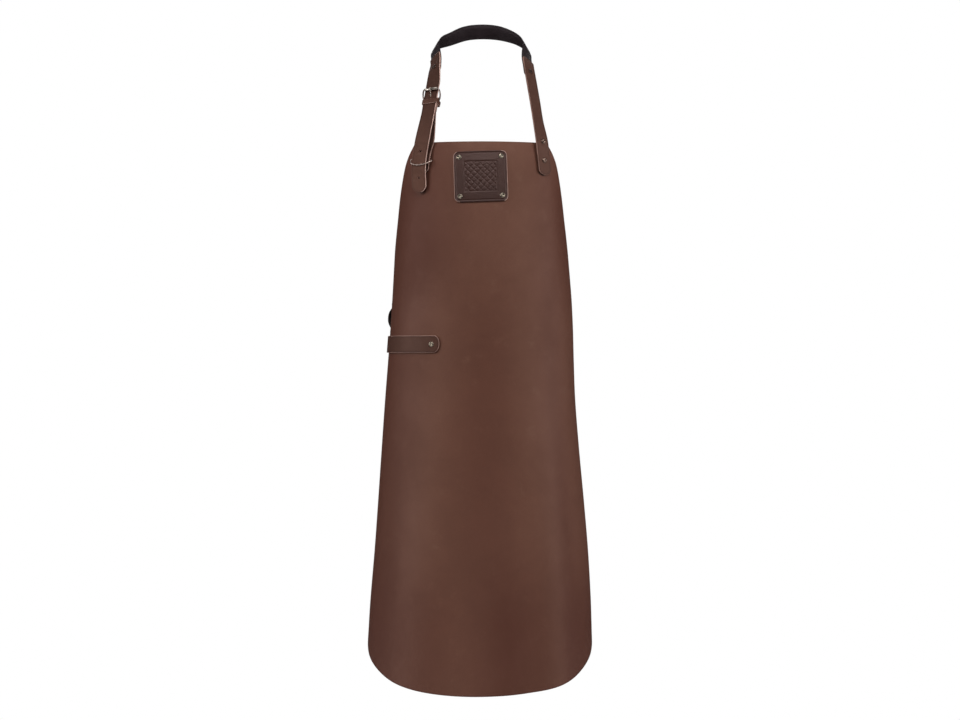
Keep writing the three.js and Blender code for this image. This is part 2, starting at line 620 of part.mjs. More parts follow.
// The leather keeper under the buckle, round both legs of the buckle strap and the free end
const KEEPER_TALL = 9.8;
const KEEPER_AT = -13;
const KEEPER_LOW = barHeel.z - FOLD_MID - LAP_THICK / 2 - GAP;
const KEEPER_HIGH = STRAP_THICK / 2 + GAP;
const keeperSolid = loopSolid(STRAP_WIDTH / 2 + 0.5, KEEPER_LOW, KEEPER_HIGH, 1.5, KEEPER_TALL, 0.6);
keeperSolid.translate(0, KEEPER_AT, 0);
leather("buckle_keeper", keeperSolid, STRAP_BROWN).applyMatrix4(strapBasis);

// The lower keeper: a wire ring that passes behind the buckle strap and hangs forward over the free end
const WIRE = 1;
const RING_AT = { angle: -41.5, z: -256.5 };
const WIRE_RING = [
  { across: 0, along: 0, out: 1.4 },
  { across: 14.6, along: 0, out: 1.3 },
  { across: 18.6, along: -1.6, out: 3.6 },
  { across: 14.5, along: -6, out: 8.2 },
  { across: 8, along: -9.4, out: 10.8 },
  { across: 0, along: -12, out: 12.1 },
  { across: -9, along: -13, out: 13.6 },
  { across: -17, along: -11.6, out: 14.9 },
  { across: -20.4, along: -6.5, out: 11.8 },
  { across: -20.6, along: -2, out: 6 },
  { across: -14, along: 0, out: 1.4 },
];
const ringOut = formNormal(RING_AT.angle, RING_AT.z);
const ringUp = above(-39.6, -228, 0).sub(above(-43.6, -284, 0));
ringUp.addScaledVector(ringOut, -ringOut.dot(ringUp)).normalize();
const ringBasis = new THREE.Matrix4().makeBasis(ringUp.clone().cross(ringOut), ringUp, ringOut);
ringBasis.setPosition(formPoint(RING_AT.angle, RING_AT.z));
const ringLine = new THREE.CatmullRomCurve3(WIRE_RING.map(({ across, along, out }) => vec(across, along, out)), true);
const ringSolid = toGeometry(toSolid(new THREE.TubeGeometry(ringLine, 25, WIRE, 6, true)));
metal("strap_keeper", ringSolid).applyMatrix4(ringBasis);

// Waist strap: both parts follow the worn form at one height and overlap at the back inside the clasp
const WAIST_Z = -592.2;
const WAIST_LIFT = 0.8;
const OVERLAP = { from: 128, to: 150, tip: 203 };
function waistStrap(from, to, reach, roundFrom, roundTo, lift) {
  const outer = [];
  const inner = [];
  const degrees = runs(from, to, 5, roundFrom, roundTo);
  degrees.forEach((deg) => {
    const begin = roundFrom ? roundEnd(WAIST_WIDTH / 2, roundFrom, deg - from) : WAIST_WIDTH / 2;
    const finish = roundTo ? roundEnd(WAIST_WIDTH / 2, roundTo, to - deg) : WAIST_WIDTH / 2;
    const half = Math.min(begin, finish);
    const raise = lift(deg);
    const rows = [-half, half].map((dz) => ({ angle: reach * deg, z: WAIST_Z + dz }));
    outer.push(rows.map(({ angle, z }) => above(angle, z, raise + WAIST_THICK)));
    inner.push(rows.map(({ angle, z }) => above(angle, z, raise)));
  });
  return wall(outer, inner);
}
const stepOut = (deg) =>
  WAIST_LIFT + (WAIST_THICK + GAP) * THREE.MathUtils.smoothstep(deg, OVERLAP.from, OVERLAP.to);
const waistLeft = waistStrap(26.1, OVERLAP.tip, -1, 3.6, 6, stepOut);
const waistRight = waistStrap(100, OVERLAP.tip, 1, 3.6, 6, () => WAIST_LIFT);
leather("waist_strap_left", cut(waistLeft, holesOf("waist_rivet_left")), STRAP_BROWN);
leather("waist_strap_right", cut(waistRight, holesOf("waist_rivet_right")), STRAP_BROWN);

// The clasp at the back, a plain flat sleeve round both ends
const claspPlace = formPoint(180, WAIST_Z);
const claspOut = formNormal(180, WAIST_Z);
const claspSide = claspOut.clone().cross(vec(0, 0, 1)).normalize();
const claspUp = claspSide.clone().cross(claspOut);
const claspBasis = new THREE.Matrix4().makeBasis(claspUp, claspSide, claspOut).setPosition(claspPlace);
const claspSolid = loopSolid(WAIST_WIDTH / 2 + 0.6, -0.7, WAIST_LIFT + 2 * WAIST_THICK + 2.2, 1.6, 22, 0.8);
metal("waist_clasp", claspSolid).applyMatrix4(claspBasis);

// Side loop: a short strip with riveted feet, bowed clear of the panel between them
const LOOP = { angle: -102.5, z: -543, length: 66, bow: 6.6, bowHalf: 18.5, half: 7, thick: 2 };
const loopStations = runs(-LOOP.length / 2, LOOP.length / 2, 5, 6, 6).map((run) => {
  const away = Math.min(Math.abs(run) / LOOP.bowHalf, 1);
  const raise = 0.5 + LOOP.bow * (1 - away ** 2.6) ** 1.3;
  const place = above(LOOP.angle, LOOP.z + run, raise);
  const half = Math.min(roundEnd(LOOP.half, 6, LOOP.length / 2 - Math.abs(run)), LOOP.half);
  return { place, out: formNormal(LOOP.angle, LOOP.z + run), half };
});
const loopStrip = strap(loopStations, 0, LOOP.thick);
leather("side_loop", cut(loopStrip, holesOf("side_loop")), BLACK);

for (const { name, angle, z, top } of PANEL_RIVETS) {
  rivet(name, formPoint(angle, z), formNormal(angle, z), -PANEL_THICK - 0.3, top + 0.1);
}

export default group;
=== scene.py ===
import math

import bmesh
import bpy
import numpy as np
from mathutils import Matrix, Vector
from mathutils.kdtree import KDTree


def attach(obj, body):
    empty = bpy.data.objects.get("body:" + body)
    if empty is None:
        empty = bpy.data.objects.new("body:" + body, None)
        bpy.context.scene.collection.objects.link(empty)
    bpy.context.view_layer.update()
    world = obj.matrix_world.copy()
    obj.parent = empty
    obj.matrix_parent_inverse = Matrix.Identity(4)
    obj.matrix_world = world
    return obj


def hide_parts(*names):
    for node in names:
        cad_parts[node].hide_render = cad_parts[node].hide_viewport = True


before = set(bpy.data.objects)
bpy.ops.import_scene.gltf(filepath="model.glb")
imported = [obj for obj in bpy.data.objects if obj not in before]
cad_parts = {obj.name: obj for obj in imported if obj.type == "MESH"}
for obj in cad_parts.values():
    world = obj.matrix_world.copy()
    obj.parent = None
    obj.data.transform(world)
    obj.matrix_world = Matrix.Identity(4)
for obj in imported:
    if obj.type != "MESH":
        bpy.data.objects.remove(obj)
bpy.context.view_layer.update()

# The view: a level camera in front of the apron at the height of its waist, with a long lens.
# The small step to the left puts the apron where it hangs in the picture.
CAMERA_PLACE = (-0.0018, -4.2, -0.621)
CAMERA_LENS = 83.1
CAMERA_SENSOR = 36.0

camera_data = bpy.data.cameras.new("front_camera")
camera_data.lens = CAMERA_LENS
camera_data.sensor_width = CAMERA_SENSOR
camera = bpy.data.objects.new("front_camera", camera_data)
camera.location = CAMERA_PLACE
camera.rotation_euler = (math.radians(90), 0, 0)
bpy.context.scene.collection.objects.link(camera)
bpy.context.scene.camera = camera
bpy.context.scene.view_settings.view_transform = "Standard"

# The apron's panel: one hide cut with a bib, armhole curves and a round hem, worn round the body's front.
# Smooth waxed grain outside, the raw flesh side inside and a dyed cut edge all round.
# It hangs from the two neck straps riveted to the bib's corners.
PANEL_THICK = 0.0022
PANEL_SOFT_EDGE = 0.0007
BIB_TOP = -0.225
HEM = -1.229
HEM_RISE = 0.170
EAR_RISE = 0.012
EAR_HALF = 0.088
EAR_MIDDLE = 0.912
PANEL_COLUMNS = 150
PANEL_ROWS = 200
PANEL_CROWDING = 0.55

# Worn form by height: half-widths, front line, how far behind it the widest place lies, and cut angle
SECTION_COLUMNS = ("z", "left", "right", "front", "depth", "edge")
SECTIONS = [
    (-1.230, 0.2170, 0.2115, -0.2070, 0.148, 101.0),
    (-1.144, 0.2112, 0.2076, -0.2060, 0.146, 102.0),
    (-1.068, 0.2064, 0.2052, -0.2050, 0.143, 103.0),
    (-0.975, 0.1984, 0.1998, -0.2045, 0.138, 104.5),
    (-0.881, 0.1914, 0.1916, -0.2040, 0.132, 106.0),
    (-0.788, 0.1848, 0.1826, -0.2040, 0.125, 107.5),
    (-0.695, 0.1780, 0.1750, -0.2045, 0.118, 109.0),
    (-0.621, 0.1720, 0.1720, -0.2055, 0.113, 110.0),
    (-0.565, 0.1678, 0.1705, -0.2065, 0.111, 109.0),
    (-0.510, 0.1642, 0.1678, -0.2075, 0.110, 104.0),
    (-0.464, 0.1616, 0.1642, -0.2080, 0.110, 96.0),
    (-0.418, 0.1592, 0.1604, -0.2075, 0.110, 86.0),
    (-0.372, 0.1570, 0.1574, -0.2060, 0.110, 78.6),
    (-0.327, 0.1556, 0.1554, -0.2035, 0.109, 73.0),
    (-0.290, 0.1550, 0.1548, -0.2000, 0.108, 67.0),
    (-0.264, 0.1546, 0.1548, -0.1970, 0.107, 62.0),
    (-0.246, 0.1544, 0.1548, -0.1940, 0.106, 57.0),
    (-0.225, 0.1544, 0.1548, -0.1900, 0.105, 50.4),
    (-0.205, 0.1544, 0.1548, -0.1840, 0.104, 49.0),
]

# Soft folds: angle at the middle, half-spread, height, and the heights where each starts and is full
FOLDS = [
    (-31, 19, 0.0060, -0.640, -0.900),
    (8, 15, -0.0050, -0.640, -0.940),
    (39, 13, 0.0060, -0.660, -1.000),
    (26, 8, -0.0035, -0.900, -1.180),
    (-62, 13, -0.0030, -0.700, -1.000),
    (66, 13, -0.0030, -0.700, -1.000),
    (-52, 16, 0.0025, -0.560, -0.380),
    (54, 16, 0.0025, -0.560, -0.380),
]


def reader(columns, rows, knots):
    """Reads a table between its rows: each column follows a smooth curve through its values."""
    values = np.array(rows, dtype=float)
    knots = np.array(knots, dtype=float)
    slopes = np.empty_like(values)
    slopes[1:-1] = (values[2:] - values[:-2]) / (knots[2:] - knots[:-2])[:, None]
    slopes[0] = (values[1] - values[0]) / (knots[1] - knots[0])
    slopes[-1] = (values[-1] - values[-2]) / (knots[-1] - knots[-2])

    def at(place):
        place = np.clip(np.asarray(place, dtype=float), knots[0], knots[-1])
        i = np.clip(np.searchsorted(knots, place) - 1, 0, len(knots) - 2)
        step = (knots[i + 1] - knots[i])[..., None]
        t = (place - knots[i])[..., None] / step
        ease = t * t * (3 - 2 * t)
        bend = t * (1 - t) * (slopes[i] * (1 - t) - slopes[i + 1] * t) * step
        found = values[i] * (1 - ease) + values[i + 1] * ease + bend
        return {name: found[..., n] for n, name in enumerate(columns)}

    return at


section_at = reader(SECTION_COLUMNS, SECTIONS, [row[0] for row in SECTIONS])


def smooth(value, low, high):
    """Eases from 0 at low to 1 at high."""
    t = np.clip((value - low) / (high - low), 0, 1)
    return t * t * (3 - 2 * t)


def unit(vectors):
    return vectors / np.linalg.norm(vectors, axis=-1, keepdims=True)


def fold_height(angle, z):
    height = 0.0
    for middle, spread, rise, start, full in FOLDS:
        grown = smooth(np.abs(z - start) * np.sign(full - start) * np.sign(z - start), 0, abs(full - start))
        height = height + rise * grown * np.exp(-(((angle - middle) / spread) ** 2))
    return height


def form_point(angle, z):
    """A point of the worn form's outer face; angles past the cut edge go on round the wearer's back."""
    turned = (np.asarray(angle, dtype=float) + 180) % 360 - 180
    z = np.asarray(z, dtype=float)
    row = section_at(z)
    half = np.where(turned < 0, row["left"], row["right"])
    fold = fold_height(turned, z)
    x = (half + fold) * np.sin(np.radians(turned))
    y = row["front"] + row["depth"] - (row["depth"] + fold) * np.cos(np.radians(turned))
    return np.stack(np.broadcast_arrays(x, y, z), axis=-1)


NORMAL_TURN = 0.5
NORMAL_CLIMB = 0.003


def form_normal(angle, z):
    across = form_point(angle + NORMAL_TURN, z) - form_point(angle - NORMAL_TURN, z)
    upward = form_point(angle, z + NORMAL_CLIMB) - form_point(angle, z - NORMAL_CLIMB)
    return unit(np.cross(across, upward))


def above(angle, z, lift):
    return form_point(angle, z) + form_normal(angle, z) * np.asarray(lift)[..., None]


def finish_mesh(name, points, faces, finishes=None):
    """A smooth-shaded object; finishes gives each face's place in the list of materials."""
    mesh = bpy.data.meshes.new(name)
    mesh.from_pydata(np.asarray(points).tolist(), [], faces)
    if finishes is not None:
        mesh.polygons.foreach_set("material_index", finishes)
    mesh.polygons.foreach_set("use_smooth", [True] * len(mesh.polygons))
    shell = bmesh.new()
    shell.from_mesh(mesh)
    bmesh.ops.recalc_face_normals(shell, faces=shell.faces)
    shell.to_mesh(mesh)
    shell.free()
    piece = bpy.data.objects.new(name, mesh)
    bpy.context.scene.collection.objects.link(piece)
    return piece


# Finishes by their place in a piece's list of materials; the last is a darker copy of the cut edge, painted
# shade for edges turned from the light.
GRAIN, CUT, FLESH, SHADED_CUT = 0, 1, 2, 3
SIDES = ("first", "right", "last", "left")


def slab(name, grid, thick, soft, top=None, lit_sides=(), shaded_sides=()):
    """A flat leather piece with softened cut edges. grid(inset, height) gives its rows of points.

    The sides named as lit show the pale cut on their softened edge too, a painted highlight on edges facing
    the light; those named as shaded take a darker copy of the cut edge, painted shade.
    """
    arc = np.radians([0, 30, 60, 90])
    levels = [(soft * (1 - math.sin(a)), -soft * (1 - math.cos(a))) for a in arc]
    levels += [(inset, -thick - height) for inset, height in reversed(levels)]
    face = grid(*levels[0]) if top is None else top
    back = grid(*levels[-1])
    rows, columns = face.shape[:2]
    border = [(0, c) for c in range(columns)]
    border += [(r, columns - 1) for r in range(1, rows)]
    border += [(rows - 1, c) for c in range(columns - 2, -1, -1)]
    border += [(r, 0) for r in range(rows - 2, 0, -1)]
    border_rows, border_columns = np.array(border).T
    side_lengths = (columns, rows - 1, columns - 1, rows - 2)
    soft_finishes = [CUT if side in lit_sides else GRAIN for side in SIDES]
    cut_finishes = [SHADED_CUT if side in shaded_sides else CUT for side in SIDES]
    count = rows * columns
    points = [face.reshape(-1, 3), back.reshape(-1, 3)]
    loops = [border_rows * columns + border_columns]
    for n, level in enumerate(levels[1:-1]):
        points.append(grid(*level)[border_rows, border_columns])
        loops.append(2 * count + n * len(border) + np.arange(len(border)))
    loops.append(loops[0] + count)
    at = np.arange(count).reshape(rows, columns)
    quads = np.stack([at[:-1, :-1], at[:-1, 1:], at[1:, 1:], at[1:, :-1]], axis=-1).reshape(-1, 4)
    faces = [quads, quads[:, ::-1] + count]
    finishes = [np.full(len(quads), GRAIN), np.full(len(quads), FLESH)]
    for n in range(len(loops) - 1):
        upper, lower = loops[n], loops[n + 1]
        faces.append(np.stack([upper, lower, np.roll(lower, -1), np.roll(upper, -1)], axis=-1))
        finishes.append(np.repeat(soft_finishes if n == 0 else cut_finishes, side_lengths))
    points = np.concatenate(points)
    piece = finish_mesh(name, points, np.concatenate(faces).tolist(), np.concatenate(finishes))
    note_edges(piece, points, loops[0])
    return piece


EDGE_REACH = 0.02


def note_edges(piece, points, rim):
    """Keeps on each point how far it lies from the cut edge, for the dye and wear that follow edges."""
    tree = KDTree(len(rim))
    for n, index in enumerate(rim):
        tree.insert(points[index], n)
    tree.balance()
    distance = [min(tree.find(point)[2], EDGE_REACH) for point in points]
    piece.data.attributes.new("edge", "FLOAT", "POINT").data.foreach_set("value", distance)


# How much darker the panel is drawn by angle from the front, as painted shade and light: lighter over the
# thighs, darker at the flanks
SHADE_COLUMNS = ("bib", "skirt", "hem")
PANEL_SHADE = {
    -110: (0.57, 0.51, 0.60), -72: (0.62, 0.51, 0.68), -58: (0.70, 0.37, 0.56), -46: (0.60, 0.13, 0.46),
    -36: (0.42, 0.00, 0.42), -18: (0.16, 0.15, 0.21), 0: (0.04, 0.30, 0.36), 18: (0.00, 0.25, 0.58),
    28: (0.00, 0.12, 0.56), 38: (0.00, 0.05, 0.44), 50: (0.24, 0.17, 0.38), 60: (0.43, 0.40, 0.64),
    72: (0.54, 0.23, 0.66), 110: (0.54, 0.40, 0.60),
}
SKIRT_SHADE_HEIGHTS = (-0.62, -0.38)
HEM_SHADE_HEIGHTS = (-1.12, -0.92)
shade_at = reader(SHADE_COLUMNS, list(PANEL_SHADE.values()), list(PANEL_SHADE))


# The panel's painted shade: darker at the flanks and towards the hem, lighter over the thighs, read from the
# table by angle and height.
def panel_shade(points):
    row = section_at(points[:, 2])
    angle = np.degrees(np.arctan2(points[:, 0], row["front"] + row["depth"] - points[:, 1]))
    dye_and_shade = shade_at(angle)
    below_bib = 1 - smooth(points[:, 2], *SKIRT_SHADE_HEIGHTS)
    at_hem = 1 - smooth(points[:, 2], *HEM_SHADE_HEIGHTS)
    return dye_and_shade["bib"] + (dye_and_shade["skirt"] - dye_and_shade["bib"]) * below_bib + (dye_and_shade["hem"] - dye_and_shade["skirt"]) * at_hem


def note_dye_and_shade(piece, darker):
    """Keeps on each point how much darker it is drawn, from a rule that reads the points; on the panel and
    the buckle strap this is painted shade.
    """
    points = np.array([vertex.co for vertex in piece.data.vertices])
    share = np.broadcast_to(darker(points), len(points))
    piece.data.attributes.new("dye_and_shade", "FLOAT", "POINT").data.foreach_set("value", share)


def crowded(count, share):
    """Steps from -1 to 1 that draw closer toward both ends by a share."""
    even = np.linspace(-1, 1, count)
    return (1 - share) * even + share * np.sin(even * math.pi / 2)


def panel_grid(inset, height):
    u = crowded(PANEL_COLUMNS, PANEL_CROWDING)
    ear = np.sqrt(np.clip(1 - ((u - EAR_MIDDLE) / EAR_HALF) ** 4, 0, None))
    low = HEM + HEM_RISE * (1 - np.sqrt(np.clip(1 - u * u, 0, None))) + inset
    high = BIB_TOP + EAR_RISE * ear - inset
    v = np.linspace(0, 1, PANEL_ROWS)[:, None]
    z = low + (high - low) * v
    edge = section_at(z)["edge"] - np.degrees(inset / section_at(z)["depth"])
    return above(u * edge, z, height)


def add_node(tree, kind, inputs=None, **settings):
    """A shader node with its settings, whose inputs are values or other nodes' sockets."""
    made = tree.nodes.new(kind)
    for name, value in settings.items():
        setattr(made, name, value)
    for name, value in (inputs or {}).items():
        if isinstance(value, bpy.types.NodeSocket):
            tree.links.new(value, made.inputs[name])
        else:
            made.inputs[name].default_value = value
    return made


def math_node(tree, operation, first, second, third=0.5):
    return add_node(tree, "ShaderNodeMath", {0: first, 1: second, 2: third}, operation=operation).outputs[0]


def ranged(tree, value, low, high, to_low=0.0, to_high=1.0):
    inputs = {"Value": value, "From Min": low, "From Max": high, "To Min": to_low, "To Max": to_high}
    return add_node(tree, "ShaderNodeMapRange", inputs, interpolation_type="SMOOTHSTEP").outputs[0]


def mixed(tree, share, first, second, blend="MIX"):
    node = add_node(tree, "ShaderNodeMix", data_type="RGBA", blend_type=blend)
    for socket, value in zip((node.inputs[0], node.inputs[6], node.inputs[7]), (share, first, second)):
        if isinstance(value, bpy.types.NodeSocket):
            tree.links.new(value, socket)
        else:
            socket.default_value = value if isinstance(value, float) else (*value, 1.0)
    return node.outputs[2]


def shader_group(name, inputs, outputs):
    """An empty shader group with named value sockets, and its input and output sockets."""
    tree = bpy.data.node_groups.new(name, "ShaderNodeTree")
    for label, value in inputs.items():
        socket = tree.interface.new_socket(label, in_out="INPUT", socket_type="NodeSocketFloat")
        socket.default_value = value
    for label in outputs:
        tree.interface.new_socket(label, in_out="OUTPUT", socket_type="NodeSocketFloat")
    return tree, tree.nodes.new("NodeGroupInput").outputs, tree.nodes.new("NodeGroupOutput").inputs


def object_place(tree):
    return add_node(tree, "ShaderNodeTexCoord").outputs["Object"]


def noise(tree, place, scale, detail, roughness=0.5, distortion=0.0):
    """Cloudy noise at a scale per metre."""
    inputs = {
        "Vector": place, "Scale": scale, "Detail": detail, "Roughness": roughness, "Distortion": distortion
    }
    return add_node(tree, "ShaderNodeTexNoise", inputs).outputs


PEBBLE_DRIFT_SCALE = 420.0
PEBBLE_DRIFT = 0.0011


def leather_grain_group():
    """Pebbled grain with furrows between the pebbles, cloudy dye and rubbed patches, at sizes per metre."""
    inputs = {"Pebbles": 900.0, "Clouds": 6.0}
    outputs = ("Relief", "Furrow", "Mottle", "Rubbed")
    tree, given, result = shader_group("leather_grain", inputs, outputs)
    place = object_place(tree)
    loose = noise(tree, place, PEBBLE_DRIFT_SCALE, 2.0)["Color"]
    drift = add_node(tree, "ShaderNodeVectorMath", {0: loose, "Scale": PEBBLE_DRIFT}, operation="SCALE")
    drifted = add_node(tree, "ShaderNodeVectorMath", {0: place, 1: drift.outputs[0]}, operation="ADD")
    pebble_inputs = {"Vector": drifted.outputs[0], "Scale": given["Pebbles"]}
    cells = add_node(tree, "ShaderNodeTexVoronoi", pebble_inputs, feature="DISTANCE_TO_EDGE")
    pebble = ranged(tree, cells.outputs["Distance"], 0.02, 0.30)
    fine_scale = math_node(tree, "MULTIPLY", given["Pebbles"], 2.6)
    fine_part = math_node(tree, "MULTIPLY", noise(tree, place, fine_scale, 3.0)["Fac"], 0.35)
    tree.links.new(math_node(tree, "MULTIPLY_ADD", pebble, 0.65, fine_part), result["Relief"])
    tree.links.new(math_node(tree, "SUBTRACT", 1.0, pebble), result["Furrow"])
    clouds = noise(tree, place, given["Clouds"], 6.0, 0.62, 0.3)["Fac"]
    tree.links.new(ranged(tree, clouds, 0.30, 0.70), result["Mottle"])
    rub_scale = math_node(tree, "MULTIPLY", given["Clouds"], 5.0)
    rubs = noise(tree, place, rub_scale, 9.0, 0.72)["Fac"]
    tree.links.new(ranged(tree, rubs, 0.55, 0.74), result["Rubbed"])
    return tree


leather_grain = leather_grain_group()


def new_material(name, specular):
    """An empty material and its shader, with the specular level on the shader's own socket."""
    material = bpy.data.materials.new(name)
    material.use_nodes = True
    shader = material.node_tree.nodes["Principled BSDF"]
    shader.inputs["Specular IOR Level"].default_value = specular
    return material, material.node_tree, shader


def give_finish(tree, shader, colour, rough, relief, strength, depth):
    """Links a finish to its shader: colour, roughness, and relief of a depth as bumps."""
    bump = add_node(tree, "ShaderNodeBump", {"Height": relief, "Strength": strength, "Distance": depth})
    tree.links.new(colour, shader.inputs["Base Color"])
    tree.links.new(rough, shader.inputs["Roughness"])
    tree.links.new(bump.outputs["Normal"], shader.inputs["Normal"])


# The deep colour darkens the dyed rims and each point's noted darkening, which is painted shade on the panel
# and the buckle strap.
DARK_DYE_AND_SHADE = (0.035, 0.004, 0.001)
WARM_WAX = (1.0, 0.77, 0.68, 1.0)
GRAIN_DEPTH = 0.00022
GRAIN_STRENGTH = 0.5
RUBBED_SHARE = 0.35
FURROW_SHADE_SHARE = 0.30
FURROW_SHADE = (0.45, 0.40, 0.38)
RIM_WIDTH = 0.0045


def grain_leather(
    name, dark, light, rubbed, rough, specular,
    pebbles=900.0, clouds=6.0, rim=0.75, wax=WARM_WAX, deep=DARK_DYE_AND_SHADE,
):
    """Dyed grain leather: cloudy dye, furrows darkened with painted shade, rubbed patches, a rim darkened by
    the dye, and each point's noted darkening.
    """
    material, tree, shader = new_material(name, specular)
    shader.inputs["Specular Tint"].default_value = wax
    grain = add_node(tree, "ShaderNodeGroup", node_tree=leather_grain)
    grain.inputs["Pebbles"].default_value = pebbles
    grain.inputs["Clouds"].default_value = clouds
    dyed = mixed(tree, grain.outputs["Mottle"], dark, light)
    worn = mixed(tree, math_node(tree, "MULTIPLY", grain.outputs["Rubbed"], RUBBED_SHARE), dyed, rubbed)
    # Painted shade: the furrows between the pebbles are darkened in colour.
    furrow_shade_share = math_node(tree, "MULTIPLY", grain.outputs["Furrow"], FURROW_SHADE_SHARE)
    furrow_shaded = mixed(tree, furrow_shade_share, worn, FURROW_SHADE, "MULTIPLY")
    edge = add_node(tree, "ShaderNodeAttribute", attribute_name="edge").outputs["Fac"]
    rim_share = ranged(tree, edge, 0.0, RIM_WIDTH, 1.0 - rim, 0.0)
    # Each point's noted darkening: painted shade on the panel and the buckle strap, dye on the right and
    # waist straps, a darker top on the left strap.
    dye_and_shade = add_node(tree, "ShaderNodeAttribute", attribute_name="dye_and_shade").outputs["Fac"]
    colour = mixed(tree, math_node(tree, "ADD", rim_share, dye_and_shade), furrow_shaded, deep)
    cloudy_rough = ranged(tree, grain.outputs["Mottle"], 0.0, 1.0, rough + 0.06, rough - 0.04)
    rubbed_rough = math_node(tree, "MULTIPLY", grain.outputs["Rubbed"], -0.05)
    roughness = math_node(tree, "ADD", cloudy_rough, rubbed_rough)
    give_finish(tree, shader, colour, roughness, grain.outputs["Relief"], GRAIN_STRENGTH, GRAIN_DEPTH)
    return material


def fibre_group():
    """Loose fibres of a raw leather surface: a matted nap and thin layers, as heights and shades."""
    tree, given, result = shader_group("leather_fibre", {"Fibres": 1400.0}, ("Nap", "Shade"))
    place = object_place(tree)
    nap = noise(tree, place, given["Fibres"], 5.0, 0.7, 1.2)["Fac"]
    broad_scale = math_node(tree, "MULTIPLY", given["Fibres"], 0.03)
    broad = noise(tree, place, broad_scale, 6.0)["Fac"]
    tree.links.new(nap, result["Nap"])
    half_broad = math_node(tree, "MULTIPLY", broad, 0.5)
    both = math_node(tree, "MULTIPLY_ADD", nap, 0.5, half_broad)
    tree.links.new(ranged(tree, both, 0.35, 0.65), result["Shade"])
    return tree


leather_fibre = fibre_group()
FIBRE_STRENGTH = 0.6


def raw_leather(name, dark, light, rough, fibres=1400.0, depth=0.0003):
    """A raw side or a cut edge: fibres in two shades and no gloss."""
    material, tree, shader = new_material(name, specular=0.2)
    fibre = add_node(tree, "ShaderNodeGroup", node_tree=leather_fibre)
    fibre.inputs["Fibres"].default_value = fibres
    colour = mixed(tree, fibre.outputs["Shade"], dark, light)
    roughness = ranged(tree, fibre.outputs["Shade"], 0.0, 1.0, rough + 0.05, rough - 0.05)
    give_finish(tree, shader, colour, roughness, fibre.outputs["Nap"], FIBRE_STRENGTH, depth)
    return material


def dress(piece, node, slot, *materials):
    """Gives a piece its materials, and lets it stand for its node in the frame."""
    for material in materials:
        piece.data.materials.append(material)
    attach(piece, "root")
    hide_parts(node)


hide_grain = grain_leather(
    "waxed_hide", (0.097, 0.0400, 0.0255), (0.119, 0.0505, 0.0330), (0.152, 0.074, 0.052), 0.56, 0.40,
    rim=0.9,
)
hide_edge = raw_leather("hide_cut_edge", (0.070, 0.032, 0.022), (0.150, 0.078, 0.055), 0.80)
hide_flesh = raw_leather(
    "hide_flesh_side", (0.125, 0.057, 0.037), (0.200, 0.098, 0.066), 0.93, fibres=900.0, depth=0.0006
)

panel = slab("apron_sheet", panel_grid, PANEL_THICK, PANEL_SOFT_EDGE)
note_dye_and_shade(panel, panel_shade)
dress(panel, "apron_panel", "panel_leather", hide_grain, hide_edge, hide_flesh)

# The badge: a square of thick dark leather with round corners, riveted by them to the middle of the bib.
# Its face is tooled with a pressed line along the edge and a plain lattice of pressed lines in the middle.
BADGE_ANGLE = -0.2
BADGE_Z = -0.2893
BADGE_SIZE = (0.096, 0.0925)
BADGE_CORNER = 0.0095
BADGE_TILT = 1.8
BADGE_THICK = 0.0024
BADGE_LIFT = 0.0006
BADGE_SOFT_EDGE = 0.0009
BADGE_STEPS = (140, 136)
BADGE_CROWDING = 0.3
BADGE_WAX = (1.0, 0.76, 0.72, 1.0)
BADGE_DEEP_DYE = (0.008, 0.002, 0.0015)
TOOLED_EDGE = 0.0034
TOOLED_FIELD = (0.029, 0.027)
TOOLED_PITCH = 0.0082
TOOLED_WIDTH = 0.0010
TOOLED_DEPTH = 0.0007
TOOLED_FADE = (-0.0008, 0.0002)


def badge_place(across, up):
    """Flat badge coordinates to angle and height on the bib, with the badge's slight tilt."""
    turn = math.radians(BADGE_TILT)
    z = BADGE_Z + across * math.sin(turn) + up * math.cos(turn)
    half = section_at(z)["right"]
    right = across * math.cos(turn) - up * math.sin(turn) + half * math.sin(math.radians(BADGE_ANGLE))
    return np.degrees(np.arcsin(right / half)), z


def badge_flat(inset):
    """Flat coordinates of the badge's grid of points, inside its round-cornered outline."""
    corner = BADGE_CORNER - inset
    half_width = BADGE_SIZE[0] / 2 - inset
    half_height = BADGE_SIZE[1] / 2 - inset
    up = half_height * crowded(BADGE_STEPS[1], BADGE_CROWDING)
    over = np.clip(np.abs(up) - (half_height - corner), 0, corner)
    half = half_width - corner + np.sqrt(corner ** 2 - over ** 2)
    across = half[:, None] * np.linspace(-1, 1, BADGE_STEPS[0])
    return across, np.broadcast_to(up[:, None], across.shape)


def badge_grid(inset, height):
    across, up = badge_flat(inset)
    angle, z = badge_place(across, up)
    return above(angle, z, BADGE_LIFT + BADGE_THICK + height)


def pressed(distance):
    """Depth of a pressed line at a distance from its middle."""
    return TOOLED_DEPTH * np.exp(-((distance / TOOLED_WIDTH) ** 2))


